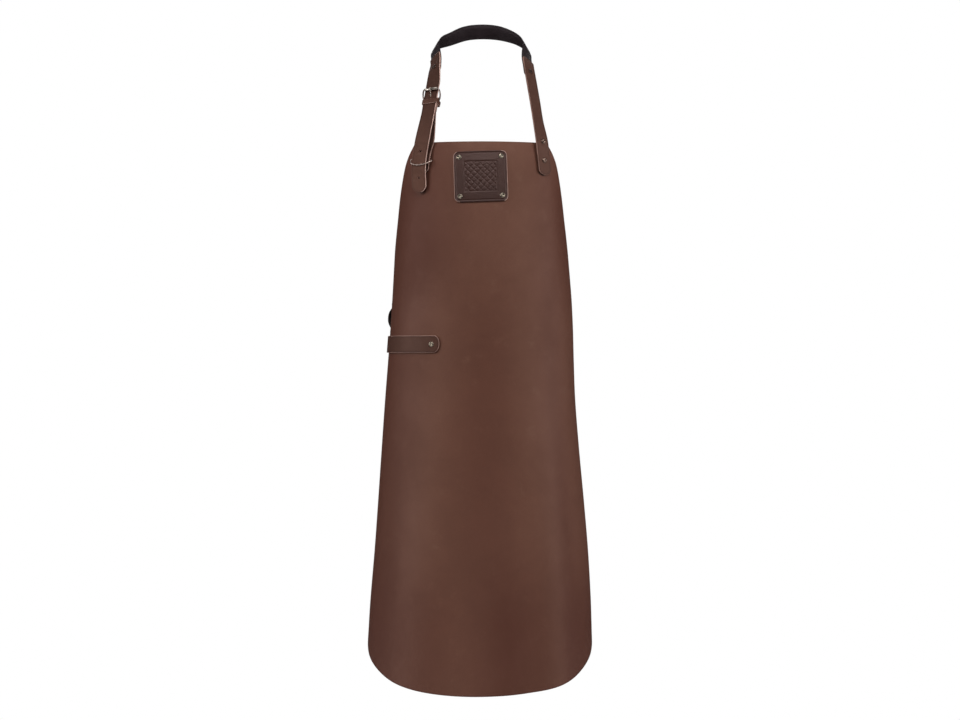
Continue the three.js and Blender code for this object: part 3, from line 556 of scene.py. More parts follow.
def badge_relief(across, up):
    """Tooling: a line along the edge, a framed field, and two sets of slanting lines inside it."""
    box_x = np.abs(across) - (BADGE_SIZE[0] / 2 - BADGE_CORNER)
    box_y = np.abs(up) - (BADGE_SIZE[1] / 2 - BADGE_CORNER)
    outside = np.hypot(np.clip(box_x, 0, None), np.clip(box_y, 0, None))
    to_edge = BADGE_CORNER - outside - np.minimum(np.maximum(box_x, box_y), 0)
    depth = pressed(to_edge - TOOLED_EDGE)
    field_x = np.abs(across) - TOOLED_FIELD[0]
    field_y = np.abs(up) - TOOLED_FIELD[1]
    field = np.maximum(field_x, field_y)
    lattice = np.zeros_like(across)
    for sign in (-1, 1):
        slant = (across + sign * up) / math.sqrt(2)
        nearest = np.abs((slant + TOOLED_PITCH / 2) % TOOLED_PITCH - TOOLED_PITCH / 2)
        lattice = np.maximum(lattice, pressed(nearest))
    lattice = lattice * (1 - smooth(field, *TOOLED_FADE))
    depth = np.maximum(depth, np.maximum(lattice, pressed(field)))
    return -depth


badge_angle, badge_z = badge_place(*badge_flat(BADGE_SOFT_EDGE))
badge_height = BADGE_LIFT + BADGE_THICK + badge_relief(*badge_flat(BADGE_SOFT_EDGE))
# The badge's side edges show the pale cut, a painted highlight; its top and bottom take a darker copy,
# painted shade.
badge = slab(
    "badge_leather", badge_grid, BADGE_THICK, BADGE_SOFT_EDGE, above(badge_angle, badge_z, badge_height),
    lit_sides=("right", "left"), shaded_sides=("first", "last"),
)
badge_grain = grain_leather(
    "badge_grain", (0.022, 0.0084, 0.0060), (0.031, 0.0122, 0.0088), (0.048, 0.024, 0.019), 0.39, 0.54,
    pebbles=1100.0, clouds=14.0, wax=BADGE_WAX, deep=BADGE_DEEP_DYE,
)
# The badge's pale cut edge, and a darker copy of it for painted shade.
badge_edge = raw_leather("badge_cut_edge", (0.24, 0.140, 0.115), (0.44, 0.290, 0.245), 0.75)
badge_shaded_edge = raw_leather("badge_shaded_edge", (0.045, 0.020, 0.016), (0.100, 0.050, 0.041), 0.75)
dress(badge, "badge_patch", "patch_leather", badge_grain, badge_edge, hide_flesh, badge_shaded_edge)

# The rivets: turned double-cap rivets of aged nickel, a dished head outside and a low cap on the flesh side.
# Each head sits on the leather that it clamps; the panel's rivets stand square to the worn form.
RIVET_SIDES = 36
RIVET_HEAD = [
    (0.00160, 0.00000), (0.00430, 0.00000), (0.00466, 0.00018), (0.00470, 0.00060), (0.00452, 0.00105),
    (0.00405, 0.00150), (0.00345, 0.00182), (0.00285, 0.00194), (0.00235, 0.00182), (0.00190, 0.00150),
    (0.00150, 0.00122), (0.00090, 0.00106), (0.0, 0.00102),
]
RIVET_CAP = [
    (0.0, -0.0015), (0.0022, -0.0014), (0.0034, -0.0011), (0.0039, -0.0006), (0.0039, -0.0001), (0.0016, 0.0),
]
STRAP_THICK = 0.0028
LAP_THICK = 0.0024
WAIST_THICK = 0.0028
WAIST_LIFT = 0.0008
LOOP_THICK = 0.002
LOOP_LIFT = 0.0005

# Angle and height of each rivet on the panel, and how far the leather under its head lies above it
PANEL_RIVETS = [
    ("right_rivet_upper", 45.1, -0.2238, 0.0033 + STRAP_THICK / 2),
    ("right_rivet_lower", 46.2, -0.2580, 0.0029 + STRAP_THICK / 2),
    ("buckle_strap_rivet_upper", -39.6, -0.2340, 0.0021 + LAP_THICK / 2),
    ("buckle_strap_rivet_lower", -42.3, -0.2710, 0.0021 + LAP_THICK / 2),
    ("waist_rivet_left", -31.6, -0.5924, WAIST_LIFT + WAIST_THICK),
    ("waist_rivet_right", 105.0, -0.5924, WAIST_LIFT + WAIST_THICK),
    ("side_loop_rivet_upper", -102.5, -0.5175, LOOP_LIFT + LOOP_THICK),
    ("side_loop_rivet_lower", -102.5, -0.5685, LOOP_LIFT + LOOP_THICK),
]
BADGE_RIVET_PITCH = (0.0756, 0.071)
for number, (side, level) in enumerate([(-1, 1), (1, 1), (-1, -1), (1, -1)], 1):
    spot = badge_place(side * BADGE_RIVET_PITCH[0] / 2, level * BADGE_RIVET_PITCH[1] / 2)
    PANEL_RIVETS.append((f"badge_rivet_{number}", float(spot[0]), float(spot[1]), BADGE_LIFT + BADGE_THICK))


def ring_quads(at):
    """Faces between neighbouring rings, from the rows of their points' numbers."""
    following = np.roll(at, -1, 1)
    return np.stack([at[:-1], following[:-1], following[1:], at[1:]], axis=-1).reshape(-1, 4)


def lathe(name, profile, sides):
    """A turned piece round its own Z, from a closed profile or one that starts and ends on the axis."""
    rings = [(r, h) for r, h in profile if r > 0]
    around = np.linspace(0, 2 * math.pi, sides, endpoint=False)
    points = [(r * math.cos(a), r * math.sin(a), h) for r, h in rings for a in around]
    at = np.arange(len(points)).reshape(len(rings), sides)
    faces = ring_quads(at).tolist()
    for end, ring in ((profile[0], at[0]), (profile[-1], at[-1])):
        if end[0] == 0:
            points.append((0, 0, end[1]))
            faces += [[a, b, len(points) - 1] for a, b in zip(ring.tolist(), np.roll(ring, -1).tolist())]
    if profile[0][0] > 0 and profile[0] == profile[-1]:
        faces += ring_quads(at[[-1, 0]]).tolist()
    return finish_mesh(name, points, faces)


MARK_STRETCH = (1.0, 0.3, 4.0)
MARK_STRENGTH = 0.15
MARK_DEPTH = 0.0001


def metal_wear_group():
    """Old plated metal: fine rubbing marks, tarnish in clouds and small pits."""
    tree, given, result = shader_group("metal_wear", {"Marks": 900.0}, ("Tarnish", "Marks", "Pits"))
    place = object_place(tree)
    cloud_scale = math_node(tree, "MULTIPLY", given["Marks"], 0.28)
    clouds = noise(tree, place, cloud_scale, 5.0)["Fac"]
    tree.links.new(ranged(tree, clouds, 0.42, 0.68), result["Tarnish"])
    stretched = add_node(tree, "ShaderNodeMapping", {"Vector": place, "Scale": MARK_STRETCH}).outputs[0]
    tree.links.new(noise(tree, stretched, given["Marks"], 4.0)["Fac"], result["Marks"])
    pits = add_node(tree, "ShaderNodeTexVoronoi", {"Vector": place, "Scale": given["Marks"]})
    tree.links.new(ranged(tree, pits.outputs["Distance"], 0.0, 0.16, 1.0, 0.0), result["Pits"])
    return tree


metal_wear = metal_wear_group()


def plated_metal(name, bright, tarnish, rough):
    """Plated metal with tarnish in clouds, rubbing marks and pits."""
    material, tree, shader = new_material(name, specular=0.5)
    shader.inputs["Metallic"].default_value = 1.0
    wear = add_node(tree, "ShaderNodeGroup", node_tree=metal_wear)
    dulled = mixed(tree, math_node(tree, "MULTIPLY", wear.outputs["Tarnish"], 0.7), bright, tarnish)
    pitted = mixed(tree, math_node(tree, "MULTIPLY", wear.outputs["Pits"], 0.5), dulled, tarnish)
    dull_rough = ranged(tree, wear.outputs["Tarnish"], 0.0, 1.0, rough, rough + 0.22)
    mark_rough = math_node(tree, "MULTIPLY", wear.outputs["Marks"], 0.12)
    roughness = math_node(tree, "ADD", dull_rough, mark_rough)
    give_finish(tree, shader, pitted, roughness, wear.outputs["Marks"], MARK_STRENGTH, MARK_DEPTH)
    return material


rivet_nickel = plated_metal("aged_nickel", (0.34, 0.29, 0.225), (0.11, 0.088, 0.066), 0.17)
dark_nickel = plated_metal("dark_nickel", (0.21, 0.140, 0.112), (0.040, 0.025, 0.020), 0.13)
brown_rivet = plated_metal("browned_rivet", (0.105, 0.066, 0.054), (0.040, 0.024, 0.019), 0.26)


def stand(piece, place, axis):
    """Moves a turned piece to its place, with its Z along an axis."""
    turn = Vector((0, 0, 1)).rotation_difference(Vector(axis)).to_matrix().to_4x4()
    piece.data.transform(Matrix.Translation(Vector(place)) @ turn)


def rivet(node, place, axis, grip, metal):
    """A rivet whose head rests at place on the leather, with its cap a grip below."""
    profile = [(r, h - grip) for r, h in RIVET_CAP] + RIVET_HEAD
    piece = lathe(f"{node}_caps", profile, RIVET_SIDES)
    stand(piece, place, axis)
    dress(piece, node, "nickel", metal)


for node, angle, z, top in PANEL_RIVETS:
    metal = rivet_nickel if node.startswith(("badge", "waist")) else dark_nickel
    rivet(node, above(angle, z, top), form_normal(angle, z), top + PANEL_THICK, metal)

# The neck's line: up from the bib's right corner, round the nape, down through the buckle to the free end.
# It is the middle surface of the brown straps; the padded band and the buckle follow it.
GAP = 0.0004
NECK_COLUMNS = ("x", "y", "z", "facing", "lift")
RIGHT_RISE = [
    (0.1040, -0.1510, -0.1826, 47, 20),
    (0.0985, -0.1350, -0.1442, 48, 25),
    (0.0926, -0.1120, -0.1045, 49, 28),
    (0.0896, -0.0960, -0.0820, 53, 31),
]
ROUND_NECK = [
    (0.0876, -0.0800, -0.0650, 58, 36),
    (0.0882, -0.0620, -0.0495, 71, 35),
    (0.0890, -0.0450, -0.0355, 85, 33),
    (0.0805, -0.0270, -0.0225, 107, 31),
    (0.0620, -0.0110, -0.0096, 134, 34),
    (0.0330, 0.0044, 0.0002, 161, 24),
    (0.0000, 0.0068, 0.0020, 180, 12),
    (-0.0310, 0.0044, -0.0012, 199, 19),
    (-0.0610, -0.0100, -0.0134, 226, 28),
    (-0.0794, -0.0260, -0.0220, 253, 30),
    (-0.0886, -0.0440, -0.0335, 274, 34),
    (-0.0870, -0.0610, -0.0485, 288, 34),
    (-0.0844, -0.0790, -0.0645, 297, 32),
]
LEFT_FALL = [(-0.0860, -0.0970, -0.0842, 314, 30)]
BUCKLE_AT = np.array((-0.0916, -0.1316, -0.1364))
BUCKLE_CLIMB = unit(np.array((0.0083, 0.0300, 0.0551)))
BUCKLE_FACING = 333
BUCKLE_LIFT = 29
BUCKLE_ROWS = (0.030, 0.018, 0.0, -0.024, -0.040)
RIGHT_OVER_BAND = 0.004
LEFT_OVER_BAND = 0.016

# Where straps lie on the bib: angle, height, lift of the strap's middle surface, turn of its face
RIGHT_LAP = [
    (47.4, -0.285, 0.0026, 3),
    (46.8, -0.270, 0.0026, 3),
    (45.6, -0.246, 0.0026, 4),
    (44.2, -0.222, 0.0032, 5),
]
FREE_END = [
    (-40.9, -0.222, 0.0094, 12),
    (-42.8, -0.248, 0.0094, 12),
    (-43.7, -0.270, 0.0094, 12),
    (-43.7, -0.296, 0.0080, 12),
    (-43.2, -0.318, 0.0068, 12),
]


def pointing(facing, lift):
    """A direction from degrees round from the front by the right, and degrees upward."""
    turn = np.radians(facing)
    level = np.cos(np.radians(lift))
    return np.stack([level * np.sin(turn), -level * np.cos(turn), np.sin(np.radians(lift))], axis=-1)


def lying(row, round_left):
    """A row of the neck's line from a place on the bib."""
    angle, z, lift, turn = row
    out = form_normal(angle, z)
    facing = math.degrees(math.atan2(out[0], -out[1])) + turn + (360 if round_left else 0)
    return (*above(angle, z, lift), facing, math.degrees(math.asin(out[2])))


def buckle_row(distance):
    return (*(BUCKLE_AT + BUCKLE_CLIMB * distance), BUCKLE_FACING, BUCKLE_LIFT)


def chord_knots(rows):
    places = np.array(rows)[:, :3]
    return np.concatenate([[0], np.cumsum(np.linalg.norm(np.diff(places, axis=0), axis=1))])


neck_rows = [lying(row, False) for row in RIGHT_LAP] + RIGHT_RISE + ROUND_NECK + LEFT_FALL
neck_rows += [buckle_row(distance) for distance in BUCKLE_ROWS]
neck_rows += [lying(row, True) for row in FREE_END]
neck_knots = chord_knots(neck_rows)
neck_at = reader(NECK_COLUMNS, neck_rows, neck_knots)
BAND_START = len(RIGHT_LAP) + len(RIGHT_RISE)
BAND_END = BAND_START + len(ROUND_NECK) - 1
right_top = neck_knots[BAND_START] + RIGHT_OVER_BAND
left_top = neck_knots[BAND_END] - LEFT_OVER_BAND
buckle_run = neck_knots[BAND_END + len(LEFT_FALL) + 1 + BUCKLE_ROWS.index(0.0)]


def place_of(row):
    return np.stack([row[name] for name in "xyz"], axis=-1)


def neck_line(run):
    row = neck_at(run)
    return place_of(row), pointing(row["facing"], row["lift"])


RUN_STEP = 0.0005
ROUND_END_FROM = 5
ROUND_END_ROWS = 12


def ribbon(line, run, across, height):
    """Points on a strap that follows a line: distance along, distance across, height over the line."""
    place, out = line(run)
    along = unit(line(run + RUN_STEP)[0] - line(run - RUN_STEP)[0])
    out = unit(out - along * np.sum(along * out, axis=-1, keepdims=True))
    side = np.cross(along, out)
    height = np.broadcast_to(height, across.shape)
    return place[:, None] + side[:, None] * across[..., None] + out[:, None] * height[..., None]


def strap_rows(start, end, half, round_start, round_end, step, inset):
    """Distances along a strap and its half-widths there, with round ends, drawn in by inset."""
    turn = np.radians(np.linspace(ROUND_END_FROM, 90, ROUND_END_ROWS))
    low = start + round_start
    high = end - round_end
    runs = []
    halves = []
    if round_start:
        runs.append(low - (round_start - inset) * np.cos(turn))
        halves.append((half - inset) * np.sin(turn))
    else:
        low += inset
    if not round_end:
        high -= inset
    middle = np.linspace(low, high, max(2, round((end - start) / step)))
    middle = middle[1 if round_start else 0: -1 if round_end else None]
    runs.append(middle)
    halves.append(np.full(len(middle), half - inset))
    if round_end:
        runs.append((high + (round_end - inset) * np.cos(turn))[::-1])
        halves.append(((half - inset) * np.sin(turn))[::-1])
    return np.concatenate(runs), np.concatenate(halves)


STRAP_COLUMNS = 15
STRAP_STEP = 0.0025


def strap_grid(line, start, end, half, round_start, round_end, top):
    """A strap along a line, ready for slab: top is the height of its grain face over the line."""

    def grid(inset, height):
        runs, halves = strap_rows(start, end, half, round_start, round_end, STRAP_STEP, inset)
        across = halves[:, None] * np.linspace(-1, 1, STRAP_COLUMNS)
        return ribbon(line, runs, across, top + height)

    return grid


# The neck band: a padded black leather band round the nape, thin and narrow at its ends under the straps.
# Two layers of black leather over soft padding, sewn near both long edges and riveted to the straps.
BAND_WIDTH = 0.028
BAND_END_WIDTH = 0.0274
BAND_THICK = 0.005
BAND_END_THICK = 0.0022
BAND_LAP = 0.051
BAND_ROUND = 0.010
BAND_THICKENS = (0.037, 0.073)
BAND_WIDENS = (0.041, 0.071)
BAND_CROWN = (0.2, 0.55)
BAND_SEAM = 0.80
BAND_SEAM_DEPTH = 0.0006
BAND_SEAM_WIDTH = 0.07
BAND_SIDE_POINTS = 25
BAND_END_TURN = (8, 90, 10)
BAND_ROWS = 150
STITCH_PITCH = 0.0046
STITCH_LENGTH = 0.0031
STITCH_RADIUS = 0.00034
STITCH_CLEAR = 0.012
JOINT_BACK = 0.035
band_top = -STRAP_THICK / 2 - GAP
band_from = right_top - BAND_LAP
band_to = left_top + BAND_LAP


def band_inside(run):
    return np.minimum(run - band_from, band_to - run)


def band_thick(run):
    return BAND_END_THICK + (BAND_THICK - BAND_END_THICK) * smooth(band_inside(run), *BAND_THICKENS)


def band_half(run):
    return (BAND_END_WIDTH + (BAND_WIDTH - BAND_END_WIDTH) * smooth(band_inside(run), *BAND_WIDENS)) / 2


def seam_dip(share, run):
    padded = smooth(band_thick(run), BAND_END_THICK, BAND_THICK)
    return BAND_SEAM_DEPTH * padded * np.exp(-(((np.abs(share) - BAND_SEAM) / BAND_SEAM_WIDTH) ** 2))


def band_heights(share, run):
    """Heights of the band's outer and inner faces over the neck's line, at a share of its half-width."""
    thick = band_thick(run)
    outer = band_top - BAND_CROWN[0] * thick * share ** 4 - seam_dip(share, run)
    inner = band_top - thick * (1 - BAND_CROWN[1] * share ** 4) + seam_dip(share, run)
    return outer, inner


def tube(name, loops):
    """A closed piece through rows of closed sections, with flat ends."""
    rows, around = loops.shape[:2]
    at = np.arange(rows * around).reshape(rows, around)
    faces = ring_quads(at).tolist() + [at[0].tolist(), at[-1].tolist()]
    return finish_mesh(name, loops.reshape(-1, 3), faces)


band_turn = np.radians(np.linspace(*BAND_END_TURN))
band_start_runs = band_from + BAND_ROUND * (1 - np.cos(band_turn))
band_end_runs = (band_to - BAND_ROUND * (1 - np.cos(band_turn)))[::-1]
band_middle = np.linspace(band_from + BAND_ROUND, band_to - BAND_ROUND, BAND_ROWS)[1:-1]
band_runs = np.concatenate([band_start_runs, band_middle, band_end_runs])
band_ends = np.concatenate([np.sin(band_turn), np.ones(len(band_middle)), np.sin(band_turn)[::-1]])
band_shares = np.sin(np.linspace(-90, 90, BAND_SIDE_POINTS) * math.pi / 180)
band_loop_shares = np.concatenate([band_shares, band_shares[::-1]])
band_across = (band_half(band_runs) * band_ends)[:, None] * band_loop_shares
band_outer, band_inner = band_heights(band_shares, band_runs[:, None])
band_loop_heights = np.concatenate([band_outer, band_inner[:, ::-1]], axis=1)
band = tube("neck_band_padded", ribbon(neck_line, band_runs, band_across, band_loop_heights))
COOL_WAX = (1.0, 0.84, 0.90, 1.0)
BLACK_DYE = (0.0, 0.0, 0.0)
band_leather = grain_leather(
    "black_band_leather", (0.0110, 0.0072, 0.0084), (0.0170, 0.0112, 0.0130), (0.032, 0.023, 0.026),
    0.56, 0.30, pebbles=1300.0, clouds=18.0, wax=COOL_WAX, deep=BLACK_DYE,
)
dress(band, "neck_band", "black_leather", band_leather)


def stitch_row(name, shares, facing, material):
    """Sewn stitches along the band at shares of its half-width, lying in the seams of both faces."""
    rings = 6
    sides = 6
    lengthwise = np.linspace(-1, 1, rings)
    radius = STITCH_RADIUS * np.sqrt(np.clip(1 - lengthwise ** 4, 0.04, None))[:, None]
    around = np.linspace(0, 2 * math.pi, sides, endpoint=False)
    start = band_from + BAND_LAP + STITCH_CLEAR
    stop = band_to - BAND_LAP - STITCH_CLEAR
    middles = np.arange(start, stop, STITCH_PITCH)
    loops = []
    for share in shares:
        for face in facing:
            for middle in middles:
                runs = middle + lengthwise * STITCH_LENGTH / 2
                heights = band_heights(share, runs)[face]
                across = band_half(runs)[:, None] * share + radius * np.cos(around)
                lifted = heights[:, None] + radius * np.sin(around)
                loops.append(ribbon(neck_line, runs, across, lifted))
    points = np.concatenate([loop.reshape(-1, 3) for loop in loops])
    at = np.arange(rings * sides).reshape(rings, sides)
    faces = []
    for n in range(len(loops)):
        numbers = at + n * rings * sides
        faces += ring_quads(numbers).tolist() + [numbers[0].tolist(), numbers[-1].tolist()]
    piece = finish_mesh(name, points, faces)
    piece.data.materials.append(material)
    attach(piece, "root")


band_thread = raw_leather(
    "black_thread", (0.010, 0.008, 0.009), (0.026, 0.021, 0.023), 0.70, fibres=3000.0, depth=0.0002
)
stitch_row("neck_band_stitches", (-BAND_SEAM, BAND_SEAM), (0, 1), band_thread)

for node, run in (("band_rivet_right", right_top - JOINT_BACK), ("band_rivet_left", left_top + JOINT_BACK)):
    place, out = neck_line(np.array([run]))
    grip = STRAP_THICK + GAP + float(band_thick(run))
    rivet(node, place[0] + out[0] * STRAP_THICK / 2, out[0], grip, brown_rivet)

# The neck straps: two brown straps of thick bridle leather with raw cut edges, pale only where they face the
# light and a darker copy elsewhere, painted light and shade.
# The right one is riveted to the bib; the left one runs through the buckle to a free end with two holes.
STRAP_WIDTH = 0.027
STRAP_SOFT_EDGE = 0.0008
RIGHT_ROUND = (0.011, 0.004)
LEFT_ROUND = (0.004, 0.014)
RIGHT_DYE = 0.22
# The left strap is drawn darker towards its top: its share, and the heights where the darkening starts and is
# full.
LEFT_TOP_DARKENING = (0.52, -0.27, -0.15)
HOLE_FIRST = 0.117
HOLE_PITCH = 0.049
HOLES_BELOW = 2
HOLE_RADIUS = 0.0019
HOLE_REACH = 0.004
HOLE_SIDES = 28
# The straps' deep colour serves their dyed rims and the buckle strap's painted shade.
STRAP_DEEP_DYE_AND_SHADE = (0.010, 0.002, 0.001)

strap_grain = grain_leather(
    "strap_grain", (0.067, 0.0285, 0.0192), (0.087, 0.038, 0.0260), (0.120, 0.063, 0.046), 0.54, 0.30,
    pebbles=1000.0, clouds=12.0, deep=STRAP_DEEP_DYE_AND_SHADE,
)
# The pale cut edge shows where edges face the light; the darker copy below it is painted shade for edges
# turned away.
strap_edge = raw_leather("strap_cut_edge", (0.28, 0.165, 0.135), (0.52, 0.350, 0.300), 0.72)
shaded_edge = raw_leather("shaded_cut_edge", (0.11, 0.058, 0.045), (0.21, 0.120, 0.096), 0.75)
strap_flesh = raw_leather(
    "strap_flesh_side", (0.105, 0.056, 0.040), (0.175, 0.098, 0.070), 0.93, fibres=1000.0, depth=0.0005
)
STRAP_FINISHES = (strap_grain, strap_edge, strap_flesh)


def brown_strap(name, node, grid, thick, dye_and_shade, edge, lit_sides=()):
    """A strap with one depth of darkening all over and one kind of cut edge; the darkening is dye, but
    painted shade on the buckle strap.
    """
    piece = slab(name, grid, thick, STRAP_SOFT_EDGE, lit_sides=lit_sides)
    note_dye_and_shade(piece, lambda points: dye_and_shade)
    dress(piece, node, "strap_leather", strap_grain, edge, strap_flesh)
    return piece


# The right strap's cut edges take the darker copy of the cut edge, painted shade.
right_grid = strap_grid(neck_line, 0.0, right_top, STRAP_WIDTH / 2, *RIGHT_ROUND, STRAP_THICK / 2)
brown_strap(
    "right_strap", "neck_strap_right", right_grid, STRAP_THICK, RIGHT_DYE, shaded_edge, ("first", "left")
)

left_grid = strap_grid(neck_line, left_top, neck_knots[-1], STRAP_WIDTH / 2, *LEFT_ROUND, STRAP_THICK / 2)
# Only the left strap's edge facing the light shows the pale cut, a painted highlight; its other edges take
# the darker copy, painted shade.
left_strap = slab(
    "left_strap", left_grid, STRAP_THICK, STRAP_SOFT_EDGE, lit_sides=("left",), shaded_sides=("first", "right", "last")
)
note_dye_and_shade(left_strap, lambda points: LEFT_TOP_DARKENING[0] * smooth(points[:, 2], *LEFT_TOP_DARKENING[1:]))


def punch(piece, cutters):
    """Cuts cutters out of a leather piece and leaves a raw wall in each hole."""
    for cutter in cutters:
        cutter.data.polygons.foreach_set("material_index", [CUT] * len(cutter.data.polygons))
        while len(cutter.data.materials) < 2:
            cutter.data.materials.append(strap_edge)
        hole = piece.modifiers.new("hole", "BOOLEAN")
        hole.operation = "DIFFERENCE"
        hole.solver = "EXACT"
        hole.object = cutter
    seen = piece.evaluated_get(bpy.context.evaluated_depsgraph_get())
    cut_mesh = bpy.data.meshes.new_from_object(seen)
    piece.modifiers.clear()
    piece.data = cut_mesh
    for cutter in cutters:
        bpy.data.objects.remove(cutter)


def disc(name, radius, low, high, sides):
    return lathe(name, [(0.0, low), (radius, low), (radius, high), (0.0, high)], sides)


def round_cutter(run):
    place, out = neck_line(np.array([run]))
    cutter = disc("punch", HOLE_RADIUS, -HOLE_REACH, HOLE_REACH, HOLE_SIDES)
    stand(cutter, place[0], out[0])
    return cutter


dress(left_strap, "neck_strap_left", "strap_leather", *STRAP_FINISHES, shaded_edge)

# The buckle: a small roller buckle of plated steel, a bowed frame with a tube turning on its top bar.
# Its prong hooks round the heel bar, passes through the strap and rests on the roller.
BAR = 0.0028
ROLLER = 0.0027
ROLLER_BORE = 0.00205
ROLLER_HALF = 0.0126
ROLLER_SOFT = 0.0003
ROLLER_SIDES = 32
PRONG = 0.0011
FRAME_HALF = 0.0164
FRAME_BULGE = 0.0206
FRAME_FLARE = 0.0005
CORNER_REACH = 0.0018
SIDE_STEPS = 18
CORNER_STEPS = 6
BAR_STEPS = 12
FOLD_SLACK = 0.0011
HOOK_SLACK = 0.0007
HOOK_TURNS = range(346, 89, -32)
PRONG_SLACK = 0.0004
PRONG_ROWS = 90
PRONG_SIDES = 12
PRONG_TAPER = (0.35, 0.004)
FOLD_MID = BAR / 2 + FOLD_SLACK + LAP_THICK / 2
TOP_BAR = (0.0125, STRAP_THICK / 2 + GAP + ROLLER)
HEEL_BAR = (-0.006, -STRAP_THICK / 2 - GAP - LAP_THICK / 2 - FOLD_MID)


def basis(place, side, up, out):
    """The placing of a piece from its own directions."""
    turned = Matrix((Vector(side), Vector(up), Vector(out))).transposed().to_4x4()
    return Matrix.Translation(Vector(place)) @ turned


buckle_out = pointing(BUCKLE_FACING, BUCKLE_LIFT)
buckle_out = unit(buckle_out - BUCKLE_CLIMB * np.dot(BUCKLE_CLIMB, buckle_out))
buckle_side = np.cross(BUCKLE_CLIMB, buckle_out)
strap_basis = basis(BUCKLE_AT, buckle_side, BUCKLE_CLIMB, buckle_out)
rise = (TOP_BAR[0] - HEEL_BAR[0], TOP_BAR[1] - HEEL_BAR[1])
bar_pitch = math.hypot(*rise)
frame_middle = Matrix.Translation((0, (TOP_BAR[0] + HEEL_BAR[0]) / 2, (TOP_BAR[1] + HEEL_BAR[1]) / 2))
frame_basis = strap_basis @ frame_middle @ Matrix.Rotation(math.atan2(rise[1], rise[0]), 4, "X")

buckle_nickel = plated_metal("buckle_nickel", (0.54, 0.475, 0.42), (0.20, 0.16, 0.13), 0.22)
frame_nickel = plated_metal("frame_nickel", (0.33, 0.265, 0.245), (0.11, 0.080, 0.072), 0.26)


def sweep(name, path, out, section, closed, finishes=None):
    """Draws a section of side and out distances along a path; a closed one may give its sides finishes."""
    path = np.asarray(path)
    section = np.asarray(section)
    before = np.roll(path, 1, 0) if closed else np.concatenate([path[:1], path[:-1]])
    after = np.roll(path, -1, 0) if closed else np.concatenate([path[1:], path[-1:]])
    along = unit(after - before)
    out = np.broadcast_to(out, path.shape)
    out = unit(out - along * np.sum(along * out, axis=-1, keepdims=True))
    side = np.cross(along, out)
    section = np.broadcast_to(section, (len(path), *section.shape[-2:]))
    loops = path[:, None] + side[:, None] * section[..., :1] + out[:, None] * section[..., 1:]
    if not closed:
        return tube(name, loops)
    rows, around = loops.shape[:2]
    at = np.arange(rows * around).reshape(rows, around)
    faces = ring_quads(np.concatenate([at, at[:1]])).tolist()
    given = None if finishes is None else np.tile(finishes, rows)
    return finish_mesh(name, loops.reshape(-1, 3), faces, given)


def circle(radius, sides=14):
    around = np.linspace(0, 2 * math.pi, sides, endpoint=False)
    return np.stack([radius * np.cos(around), radius * np.sin(around)], axis=-1)


def curve(ends, control, steps):
    """Points from one end toward the other, without it, along a curve pulled to a control point."""
    t = np.linspace(0, 1, steps, endpoint=False)[:, None]
    start, stop = (np.array(end, dtype=float) for end in ends)
    return start * (1 - t) ** 2 + 2 * np.array(control, dtype=float) * t * (1 - t) + stop * t ** 2


frame_half = FRAME_HALF - BAR / 2
frame_bulge = FRAME_BULGE - BAR / 2
frame_tall = bar_pitch / 2


def frame_path():
    """The middle of the buckle frame's bar, once round: right side, heel bar, left side, top bar."""
    points = []
    for sign in (1, -1):
        side = sign * (frame_half + FRAME_FLARE)
        side_top = (side, sign * (frame_tall - CORNER_REACH), 0)
        side_bottom = (side, -sign * (frame_tall - CORNER_REACH), 0)
        bar_start = (sign * (frame_half - CORNER_REACH), -sign * frame_tall, 0)
        bar_stop = (-sign * (frame_half - CORNER_REACH), -sign * frame_tall, 0)
        next_top = (-side, -sign * (frame_tall - CORNER_REACH), 0)
        points.append(curve((side_top, side_bottom), (sign * frame_bulge, 0, 0), SIDE_STEPS))
        corner = (sign * frame_half, -sign * frame_tall, 0)
        next_corner = (-sign * frame_half, -sign * frame_tall, 0)
        points.append(curve((side_bottom, bar_start), corner, CORNER_STEPS))
        points.append(np.linspace(bar_start, bar_stop, BAR_STEPS, endpoint=False))
        points.append(curve((bar_stop, next_top), next_corner, CORNER_STEPS))
    return np.concatenate(points)


buckle_frame = sweep("buckle_bow", frame_path(), (0, 0, 1), circle(BAR / 2), True)
buckle_frame.data.transform(frame_basis)
dress(buckle_frame, "buckle_frame", "nickel", frame_nickel)

roller_profile = [
    (ROLLER_BORE, -ROLLER_HALF), (ROLLER - ROLLER_SOFT, -ROLLER_HALF), (ROLLER, -ROLLER_HALF + ROLLER_SOFT),
    (ROLLER, ROLLER_HALF - ROLLER_SOFT), (ROLLER - ROLLER_SOFT, ROLLER_HALF), (ROLLER_BORE, ROLLER_HALF),
    (ROLLER_BORE, -ROLLER_HALF),
]
roller = lathe("buckle_tube", roller_profile, ROLLER_SIDES)
on_top_bar = Matrix.Translation((0, frame_tall, 0)) @ Matrix.Rotation(math.pi / 2, 4, "Y")
roller.data.transform(frame_basis @ on_top_bar)
dress(roller, "buckle_roller", "nickel", buckle_nickel)

